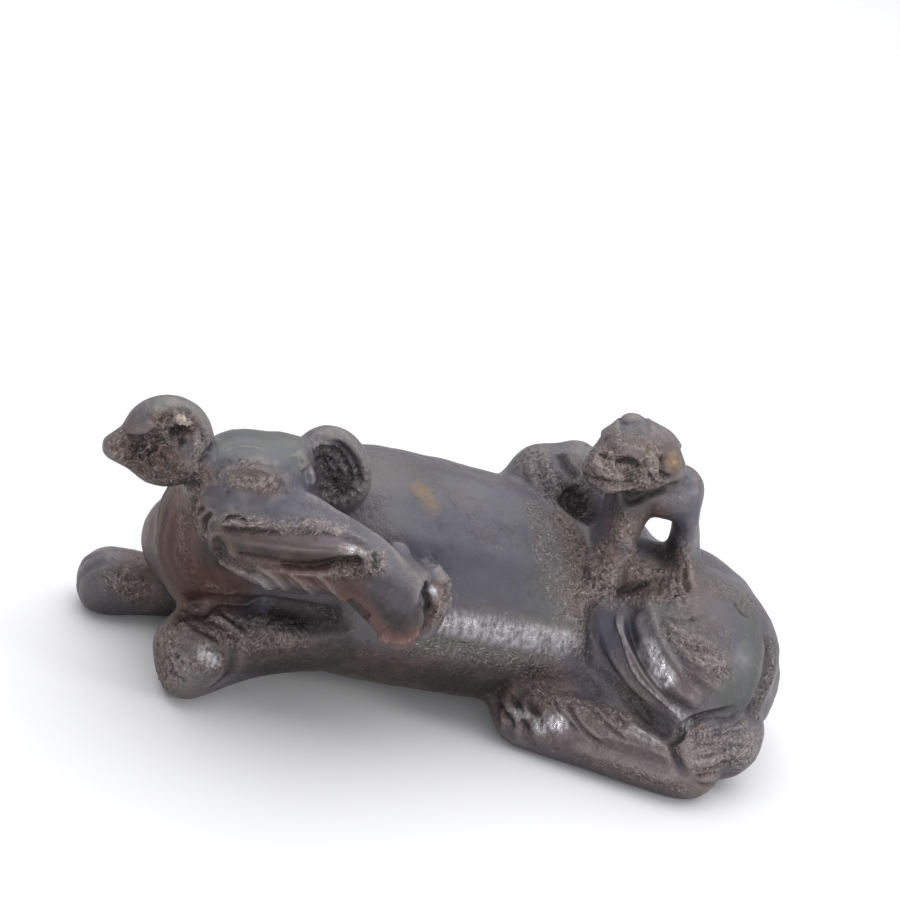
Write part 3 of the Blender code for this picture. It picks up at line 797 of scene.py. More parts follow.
@dataclass
class Haunch(Part):
    """The near haunch with its swirl of skin folds.

    Attributes:
        groove: the groove that bounds the folds in front.
        ridge: the edge of the main fold.
    """

    groove: Path = (
        (14.3, -5.2, 16.9), (13.7, -5.6, 15.0), (13.9, -6.9, 12.3), (15.3, -8.1, 10.1), (18.0, -10.2, 8.9),
        (20.8, -12.2, 7.3), (22.8, -13.8, 6.8),
    )
    ridge: Path = (
        (16.1, -6.5, 16.1), (16.1, -7.7, 15.5), (16.7, -9.7, 14.2), (18.2, -11.5, 12.1),
        (20.2, -12.8, 10.9), (22.2, -13.7, 9.9), (23.5, -13.8, 8.5),
    )

    def burnishes(self) -> list[Burnish]:
        """Return the old inner folds, to be cut again."""
        return [
            Burnish(((18.2, -7.6, 17.0), (19.6, -10.6, 15.0), (22.4, -12.6, 12.4)), 2.2, 0.6),
            Burnish(((13.9, -6.9, 12.3), (15.3, -8.1, 10.1), (18.0, -10.2, 8.9), (20.8, -12.2, 7.3)),
                    1.8, 0.55),
            Burnish(((27.0, -12.6, 12.6), (29.6, -10.6, 15.4)), 2.6, 0.8),
            Burnish(((14.3, -5.2, 17.2), (13.7, -5.6, 15.0), (13.9, -6.9, 12.3)), 1.7, 0.55),
            Burnish(((15.9, -6.6, 15.9), (16.3, -9.0, 14.2), (17.8, -11.2, 12.0), (19.9, -12.7, 10.4),
                     (22.0, -13.6, 9.4)), 1.5, 0.75),
        ]

    def strokes(self) -> list[Stroke]:
        """List the strokes of the folds.

        Returns:
            The strokes, in the order they are cut.
        """
        lobe = ((14.8, -5.8, 16.0), (15.0, -7.4, 13.8), (16.2, -9.4, 12.0), (18.5, -11.4, 10.3),
                (21.4, -13.2, 8.6))
        slope = ((15.5, -6.4, 16.0), (15.5, -7.6, 15.4), (16.1, -9.6, 14.1), (17.6, -11.4, 12.0),
                 (19.6, -12.7, 10.8), (21.6, -13.6, 9.8))
        valley = ((17.2, -5.9, 16.6), (17.4, -8.0, 15.4), (18.2, -10.2, 14.1), (19.6, -12.0, 12.5),
                  (22.2, -13.2, 10.8), (24.3, -13.7, 9.6))
        inner = ((18.5, -6.9, 17.1), (19.1, -9.3, 15.7), (20.4, -11.5, 13.4), (22.6, -12.6, 11.9),
                 (24.6, -13.5, 10.9))
        second = ((19.6, -7.9, 17.9), (20.3, -10.0, 16.2), (21.9, -11.7, 14.6), (24.0, -12.8, 13.2),
                  (26.0, -13.2, 12.0))
        flows = (
            (((20.5, -9.4, 17.2), (22.1, -10.5, 16.9), (24.1, -10.9, 16.9)), -0.24),
            (((20.9, -10.7, 16.4), (22.7, -11.4, 16.1), (25.0, -11.7, 16.1)), 0.25),
            (((22.1, -11.7, 15.6), (24.3, -12.4, 15.0), (26.4, -12.2, 15.2)), -0.24),
            (((22.6, -12.3, 14.6), (24.6, -12.9, 14.0), (26.6, -12.8, 13.6)), 0.2),
            (((20.0, -9.0, 18.0), (21.6, -9.6, 17.9), (23.4, -9.4, 18.0)), 0.2),
        )
        laid = [
            Stroke(self.groove, 1.0, 0.3, Cut.ROUND, 0.25, 0.2),
            Stroke(lobe, 1.4, -0.15),
            Stroke(slope, 0.9, 0.25),
            Stroke(self.ridge, 0.5, -0.4, Cut.SHARP, 0.0, 0.15),
            Stroke(valley, 1.2, 0.55, soot_and_shade=0.35),
            Stroke(inner, 1.2, -0.6, run_out=0.15),
            Stroke(second, 0.8, 0.3, soot_and_shade=0.3),
            Stroke(((27.4, -7.0, 19.1), (28.2, -7.9, 18.5), (29.2, -8.0, 18.1)), 0.4, 0.2, Cut.SHARP, 0.6),
            Stroke(((30.9, -8.4, 17.4), (30.8, -10.4, 15.4), (30.5, -11.9, 12.6), (30.1, -12.7, 9.8)),
                   0.7, -0.35, Cut.SHARP),
            Stroke(((31.4, -8.6, 16.8), (31.5, -10.4, 14.6), (31.2, -11.8, 12.0), (30.8, -12.6, 9.9)),
                   0.6, 0.5, soot_and_shade=0.8),
            Stroke(((32.6, -7.6, 16.8), (32.8, -9.8, 14.2), (32.6, -10.9, 11.2), (32.0, -11.8, 9.4)),
                   1.0, -0.35),
        ]
        laid.extend(Stroke(path, 0.5, depth) for path, depth in flows)
        return laid

    def stipples(self) -> list[Stipple]:
        """Return the rough patches inside and outside the folds."""
        return [
            Stipple(((20.8, -10.2, 16.6), (23.6, -11.6, 15.8), (25.6, -12.4, 14.8)), 2.2, 0.15, 0.8, 0.45),
            Stipple(((14.6, -8.4, 12.0), (16.6, -9.8, 10.2), (19.6, -12.0, 8.6)), 1.4, 0.1, 0.6, 0.2),
            Stipple(((32.4, -8.8, 15.6), (32.6, -10.6, 12.6), (31.9, -11.8, 9.8)), 1.4, 0.16, 0.7, 0.15),
            Stipple(((26.4, -5.6, 20.0), (29.4, -5.6, 18.8)), 2.2, 0.07, 0.7, 0.2),
            Stipple(((15.4, -5.0, 17.6), (18.6, -6.4, 18.6), (22.0, -6.8, 19.2)), 1.6, 0.12, 0.7, 0.35),
        ]


@dataclass
class Feet(Part):
    """The near feet: the round end of the forefoot and the toes of the hind foot."""

    def burnishes(self) -> list[Burnish]:
        """Return the forefoot's old rim, to be rounded."""
        return [Burnish(((-27.8, -5.4, 7.4), (-26.6, -7.8, 5.0), (-28.6, -5.2, 3.2)), 3.6, 0.9)]

    def strokes(self) -> list[Stroke]:
        """List the strokes of the toes and the creases above them.

        Returns:
            The strokes, in the order they are cut.
        """
        cracks = (
            ((-28.9, -5.0, 6.4), (-28.8, -6.0, 5.8), (-28.8, -6.2, 4.6), (-28.4, -6.8, 3.8),
             (-28.2, -6.6, 2.8)),
            ((-28.8, -6.2, 5.6), (-28.0, -7.2, 5.2), (-27.6, -7.8, 5.6)),
            ((-28.0, -7.0, 4.2), (-27.2, -7.8, 4.8), (-26.6, -8.4, 4.2)),
            ((-28.8, -4.6, 3.8), (-28.2, -6.0, 3.0)),
            ((-27.4, -7.2, 6.6), (-26.8, -8.0, 5.9)),
        )
        creases = (
            ((10.8, -8.9, 7.3), (11.7, -10.7, 6.5), (13.4, -12.2, 5.5)),
            ((12.4, -9.6, 7.2), (13.6, -11.9, 6.0), (15.7, -13.5, 5.1)),
            ((14.6, -10.1, 7.4), (16.0, -12.2, 6.8), (18.0, -13.9, 6.2)),
            ((17.0, -11.2, 7.4), (18.6, -13.0, 6.9), (20.6, -14.4, 6.4)),
        )
        toes = (
            ((5.8, -6.9, 4.9), (6.5, -9.0, 4.4), (7.4, -10.1, 3.3)),
            ((6.5, -8.1, 6.2), (7.6, -9.9, 5.4), (8.9, -10.4, 3.4)),
            ((8.0, -8.9, 6.5), (9.4, -10.4, 5.5), (10.6, -11.6, 4.1)),
        )
        laid = [
            Stroke(((-27.8, -4.4, 8.8), (-26.8, -6.1, 8.5), (-25.5, -6.9, 8.4), (-24.3, -7.1, 7.9)),
                   0.7, -0.3),
            Stroke(((-27.2, -4.2, 9.2), (-26.2, -5.6, 9.0), (-24.8, -6.4, 8.7), (-23.6, -6.8, 8.0)),
                   0.5, 0.22, soot_and_shade=0.3),
            Stroke(((-24.8, -4.2, 9.7), (-23.6, -4.7, 9.4), (-22.2, -5.7, 9.0), (-21.1, -6.4, 8.4)),
                   0.6, -0.4),
            Stroke(((-25.4, -4.4, 9.6), (-24.2, -5.0, 9.3), (-22.8, -6.0, 8.8), (-21.8, -6.7, 8.0)),
                   0.4, 0.25, Cut.SHARP, 0.4),
            Stroke(((-23.9, -4.3, 9.9), (-22.6, -4.8, 9.5), (-21.2, -5.8, 9.0)), 0.4, 0.25, Cut.SHARP, 0.4),
            Stroke(((-22.5, -6.3, 8.2), (-22.1, -7.2, 6.4), (-22.3, -7.3, 4.5), (-24.1, -8.0, 3.1)),
                   0.8, 0.3, soot_and_shade=0.5),
            Stroke(((-28.4, -4.8, 8.0), (-26.6, -7.0, 7.9), (-24.2, -7.8, 7.0), (-23.3, -7.9, 5.0),
                    (-24.8, -8.4, 3.0)), 0.9, -0.2),
            Stroke(((9.9, -11.2, 4.6), (11.2, -11.3, 5.5)), 1.0, -0.35, run_out=0.0),
            Stroke(((8.2, -10.3, 5.3),), 0.9, -0.3),
            Stroke(((6.8, -9.2, 4.9),), 0.8, -0.3),
            Stroke(((12.4, -12.4, 3.6), (18.0, -14.8, 3.8), (24.0, -17.0, 3.4)), 1.2, -0.2),
            Stroke(((14.7, -13.0, 5.0), (19.0, -14.9, 5.4), (22.9, -16.4, 5.2)), 0.7, 0.2, soot_and_shade=0.3),
        ]
        laid.extend(Stroke(path, 0.4, 0.16, Cut.SHARP, 0.5) for path in cracks)
        laid.extend(Stroke(path, 0.55, 0.3, Cut.FOLD, 0.4) for path in creases)
        laid.extend(Stroke(path, 0.6, 0.45, Cut.SHARP, 0.8) for path in toes)
        return laid

    def stipples(self) -> list[Stipple]:
        """Return the pitted sole and the rough crease behind the hind toes."""
        return [
            Stipple(((-28.6, -5.2, 6.6), (-27.6, -7.2, 5.4), (-28.4, -5.6, 3.0)), 2.8, 0.24, 0.8, 0.8),
            Stipple(((-25.4, -8.2, 6.6), (-24.0, -7.9, 6.4)), 1.7, 0.16, 0.6, 0.7),
            Stipple(((-26.7, -4.8, 8.8), (-24.3, -5.0, 9.1), (-22.4, -6.2, 8.6)), 1.7, 0.06, 0.6, 1.2),
            Stipple(((-23.6, -5.8, 8.8), (-19.6, -6.4, 8.6), (-16.0, -6.4, 9.2)), 1.9, 0.12, 0.8, 0.4),
            Stipple(((-33.4, 6.8, 5.6), (-31.6, 6.8, 5.0)), 2.2, 0.16, 0.8, 0.6),
            Stipple(((9.6, -9.0, 7.2), (13.6, -10.4, 7.2), (18.4, -12.6, 7.2)), 1.7, 0.15, 0.7, 0.35),
            Stipple(((6.4, -9.2, 4.6), (10.8, -11.2, 4.6)), 1.4, 0.12, 0.6, 0.35),
            Stipple(((15.0, -13.8, 3.0), (24.0, -17.2, 2.6)), 1.5, 0.06, 0.7, 0.25),
        ]


@dataclass
class Tail(Part):
    """The tail's hairy tuft on the hock.

    Attributes:
        hair_top: the path of the highest hair.
        hair_low: the path of the lowest.
        hairs: how many there are.
    """

    hair_top: Path = ((23.4, -14.4, 7.9), (26.0, -13.2, 9.3), (29.6, -12.2, 10.0))
    hair_low: Path = ((25.4, -16.8, 3.6), (28.6, -16.0, 2.6), (32.0, -14.0, 2.6))
    hairs: int = 24

    def burnishes(self) -> list[Burnish]:
        """Return the tuft's old locks, to be cut finer."""
        return [Burnish(((24.6, -14.8, 7.0), (30.6, -13.0, 7.4)), 3.6, 0.6)]

    def strokes(self) -> list[Stroke]:
        """List the strands of the tuft and the groove that parts it from the hock.

        Returns:
            The strokes, in the order they are cut.
        """
        parting = ((28.6, -12.4, 10.6), (25.4, -13.2, 9.5), (22.6, -14.6, 7.4), (23.2, -16.0, 5.4),
                   (24.6, -17.0, 4.4))
        return [
            Stroke(parting, 0.8, 0.5, soot_and_shade=0.6),
            Stroke(((25.0, -14.2, 8.2), (27.0, -14.0, 8.4)), 1.4, -0.35),
            *strands(self.hair_top, self.hair_low, self.hairs, 0.30, 0.15, 7, 0.3),
        ]

    def stipples(self) -> list[Stipple]:
        """Return the rough hair."""
        return [Stipple(((25.4, -14.8, 6.6), (30.8, -13.4, 6.2)), 3.6, 0.1, 0.6, 1.0)]


@dataclass
class Cub(Part):
    """The cub on the animal's back: its small face, ear, paws and tail.

    Attributes:
        ear: the middle of its near ear.
    """

    ear: Point = (18.2, -3.5, 32.9)

    def burnishes(self) -> list[Burnish]:
        """Return the face's old marks, to be cut again."""
        return [Burnish(((11.2, -4.0, 31.4), (15.4, -4.4, 31.6)), 2.8, 0.6)]

    def strokes(self) -> list[Stroke]:
        """List the strokes of the cub.

        Returns:
            The strokes, in the order they are cut.
        """
        laid = [
            Stroke(((11.6, -1.8, 33.0), (13.2, -3.6, 33.5), (15.0, -4.0, 33.3), (16.2, -4.4, 32.2)),
                   0.9, -0.2),
            Stroke(((12.0, -3.8, 32.2), (13.4, -4.3, 32.4), (14.6, -4.6, 32.0)), 0.7, 0.4, soot_and_shade=0.8),
            Stroke(((13.9, -4.7, 31.2),), 1.0, 0.3, soot_and_shade=0.5),
            Stroke(((10.4, -3.2, 31.2), (11.4, -4.4, 31.0)), 0.9, -0.3, run_out=0.0),
            Stroke(((10.8, -2.8, 32.2), (11.3, -3.5, 32.1)), 0.5, 0.3, Cut.ROUND, 0.7, 0.0),
            Stroke(((9.9, -3.4, 30.2), (11.3, -4.7, 30.2), (13.2, -4.9, 30.0), (15.0, -4.9, 30.6)),
                   0.5, 0.3, Cut.SHARP, 0.7),
            Stroke(((11.2, -4.6, 29.3), (12.9, -4.8, 28.8), (14.6, -4.6, 29.2)), 0.9, -0.25),
            Stroke(((15.4, -4.9, 32.4), (16.6, -4.6, 31.0), (17.8, -4.2, 30.8)), 0.5, 0.3, Cut.FOLD, 0.5),
            Stroke(((12.6, -4.2, 28.4), (15.0, -3.6, 28.0), (17.2, -3.2, 28.8), (19.0, -3.2, 30.0)),
                   0.8, 0.4, soot_and_shade=0.9),
            Stroke(((11.4, -0.2, 33.2), (12.0, -0.6, 34.0), (12.8, -0.8, 34.6)), 2.6, -0.45, run_out=0.0),
            Stroke(((15.6, -0.6, 34.9), (17.6, -1.0, 34.4), (19.0, -1.4, 33.4)), 2.6, -0.3, run_out=0.0),
            Stroke((self.ear,), 1.5, -0.45),
            Stroke(((16.9, -3.7, 33.7), (16.7, -4.3, 32.7), (17.2, -4.4, 31.7), (18.4, -4.1, 31.2)),
                   0.5, 0.35, soot_and_shade=0.7),
            Stroke(((12.6, -0.5, 34.9), (13.6, -0.9, 35.1), (14.9, -0.6, 35.0)), 0.5, 0.12, Cut.SHARP, 0.2),
            Stroke(((24.2, -2.1, 21.5), (23.4, -4.4, 20.3), (23.7, -6.2, 19.3)), 0.8, -0.2),
            Stroke(((23.2, -2.6, 21.6), (22.6, -4.6, 20.4), (22.9, -6.6, 19.0)), 0.4, 0.25, Cut.SHARP, 0.5),
            Stroke(((15.7, -5.1, 17.7), (17.8, -4.0, 18.1), (19.6, -3.9, 18.8)), 0.8, 0.35, soot_and_shade=0.6),
            Stroke(((14.4, -3.6, 24.2), (15.9, -4.0, 23.0), (17.0, -3.4, 21.4)), 1.0, -0.25),
            Stroke(((14.5, -4.8, 20.0), (14.6, -5.2, 18.6)), 1.6, -0.35, run_out=0.0),
            Stroke(((21.4, -4.6, 19.6), (21.4, -6.0, 18.9)), 1.5, -0.3, run_out=0.0),
            Stroke(((12.4, -3.6, 20.2), (12.6, -4.9, 18.2)), 0.8, 0.3, soot_and_shade=0.5),
        ]
        paws = (
            ((13.4, -4.2, 20.4), (13.1, -5.0, 19.2), (13.3, -5.3, 17.9)),
            ((14.1, -4.4, 20.8), (13.9, -5.2, 19.3), (14.2, -5.5, 17.7)),
            ((14.9, -4.6, 20.9), (14.8, -5.3, 19.3), (15.2, -5.5, 17.5)),
            ((15.6, -4.4, 20.7), (15.7, -4.9, 19.3), (16.2, -4.9, 17.5)),
            ((20.6, -3.6, 20.2), (20.2, -5.0, 19.2), (20.0, -6.4, 18.4)),
            ((21.3, -3.7, 20.4), (21.0, -5.3, 19.4), (20.9, -6.8, 18.5)),
            ((22.0, -3.8, 20.4), (21.8, -5.4, 19.5), (21.7, -7.0, 18.6)),
            ((13.8, -4.3, 20.6), (13.5, -5.1, 19.4), (13.7, -5.4, 18.2)),
            ((14.5, -4.5, 20.6), (14.3, -5.3, 19.0), (14.7, -5.5, 17.9)),
            ((15.2, -4.5, 20.6), (15.3, -5.1, 19.0), (15.8, -5.2, 17.8)),
        )
        laid.extend(Stroke(paw, 0.32, 0.2, Cut.SHARP, 0.4) for paw in paws)
        return laid

    def stipples(self) -> list[Stipple]:
        """Return the rough face, flank and seat of the cub."""
        return [
            Stipple(((11.0, -3.6, 31.4), (13.2, -4.4, 30.8), (15.4, -4.4, 31.6)), 2.9, 0.23, 0.7, 0.9),
            Stipple(((13.0, -2.4, 33.6), (16.0, -3.6, 33.4)), 1.6, 0.1, 0.7, 0.35),
            Stipple(((13.4, -3.6, 21.4), (14.2, -4.8, 19.4), (14.6, -5.2, 17.8)), 2.2, 0.22, 0.6, 0.9),
            Stipple(((17.0, -3.0, 21.4), (18.4, -3.2, 19.6), (21.2, -4.2, 19.6), (21.6, -6.4, 18.8)),
                    2.0, 0.22, 0.7, 0.75),
            Stipple(((22.0, -2.3, 23.0), (22.6, -3.2, 21.4)), 1.3, 0.14, 0.7, 0.45),
            Stipple(((14.6, -3.0, 25.4), (15.4, -3.6, 23.4)), 1.8, 0.08, 0.7, 0.2),
        ]


@dataclass
class Back(Part):
    """The back and flank, and the far haunch's crest with the deep hollow beside it."""

    def strokes(self) -> list[Stroke]:
        """List the strokes of the flank's crease, the crest and the hollow.

        Returns:
            The strokes, in the order they are cut.
        """
        panel = ((-2.1, -7.2, 17.8), (1.3, -7.3, 17.6), (5.5, -7.4, 17.4), (9.9, -7.0, 17.0),
                 (13.0, -6.2, 15.8))
        bulge = ((-4.0, -7.9, 13.9), (1.7, -8.1, 13.8), (5.9, -8.2, 13.6), (10.3, -7.9, 13.3),
                 (14.0, -6.8, 12.3))
        crease = ((-4.0, -7.6, 15.9), (1.3, -7.7, 15.8), (5.5, -7.8, 15.6), (9.9, -7.5, 15.1),
                  (13.0, -6.6, 14.0))
        return [
            Stroke(panel, 3.0, 0.3),
            Stroke(bulge, 2.4, -0.4),
            Stroke(crease, 0.9, 0.14),
            Stroke(((8.6, 8.6, 27.1), (8.8, 6.3, 25.7), (9.8, 5.2, 23.9), (12.1, 5.0, 21.5)),
                   0.9, -0.4, Cut.SHARP),
            Stroke(((10.1, 7.9, 26.8), (10.8, 6.5, 25.7), (12.2, 5.6, 24.8)), 0.9, 0.4, soot_and_shade=0.6),
            Stroke(((11.0, 5.4, 23.5), (12.1, 5.2, 22.2), (13.4, 4.6, 21.0)), 1.8, 0.7, soot_and_shade=0.5),
            Stroke(((6.6, 7.2, 25.6), (7.0, 5.8, 24.6), (8.0, 4.6, 23.4)), 0.8, -0.25),
        ]

    def stipples(self) -> list[Stipple]:
        """Return the rough places on the crest, the slope below it and the flank's end."""
        return [
            Stipple(((6.4, 8.0, 25.6), (8.2, 6.0, 25.0), (9.6, 4.8, 23.4)), 2.4, 0.14, 0.7, 0.35),
            Stipple(((9.6, 3.6, 22.8), (10.6, 0.0, 21.6), (11.4, -3.2, 20.2), (12.4, -5.2, 18.0)),
                    2.0, 0.14, 0.7, 0.2),
            Stipple(((12.6, -6.0, 16.6), (12.4, -6.8, 14.2), (13.2, -7.2, 11.8)), 1.8, 0.14, 0.7, 0.2),
            Stipple(((7.0, 1.0, 22.6), (8.6, -3.6, 20.6), (9.8, -6.6, 17.0)), 2.6, 0.05, 0.6, 0.3),
            Stipple(((-8.0, -7.0, 18.4), (-6.6, -7.4, 14.0), (-4.0, -7.4, 11.0)), 2.6, 0.05, 0.6, 0.3),
            Stipple(((-2.0, -7.4, 11.0), (4.0, -7.6, 10.6), (10.0, -7.8, 10.0)), 2.4, 0.06, 0.6, 0.3),
            Stipple(((12.8, 4.8, 24.2), (12.4, 5.0, 21.6)), 2.4, 0.12, 0.8, 0.1),
        ]


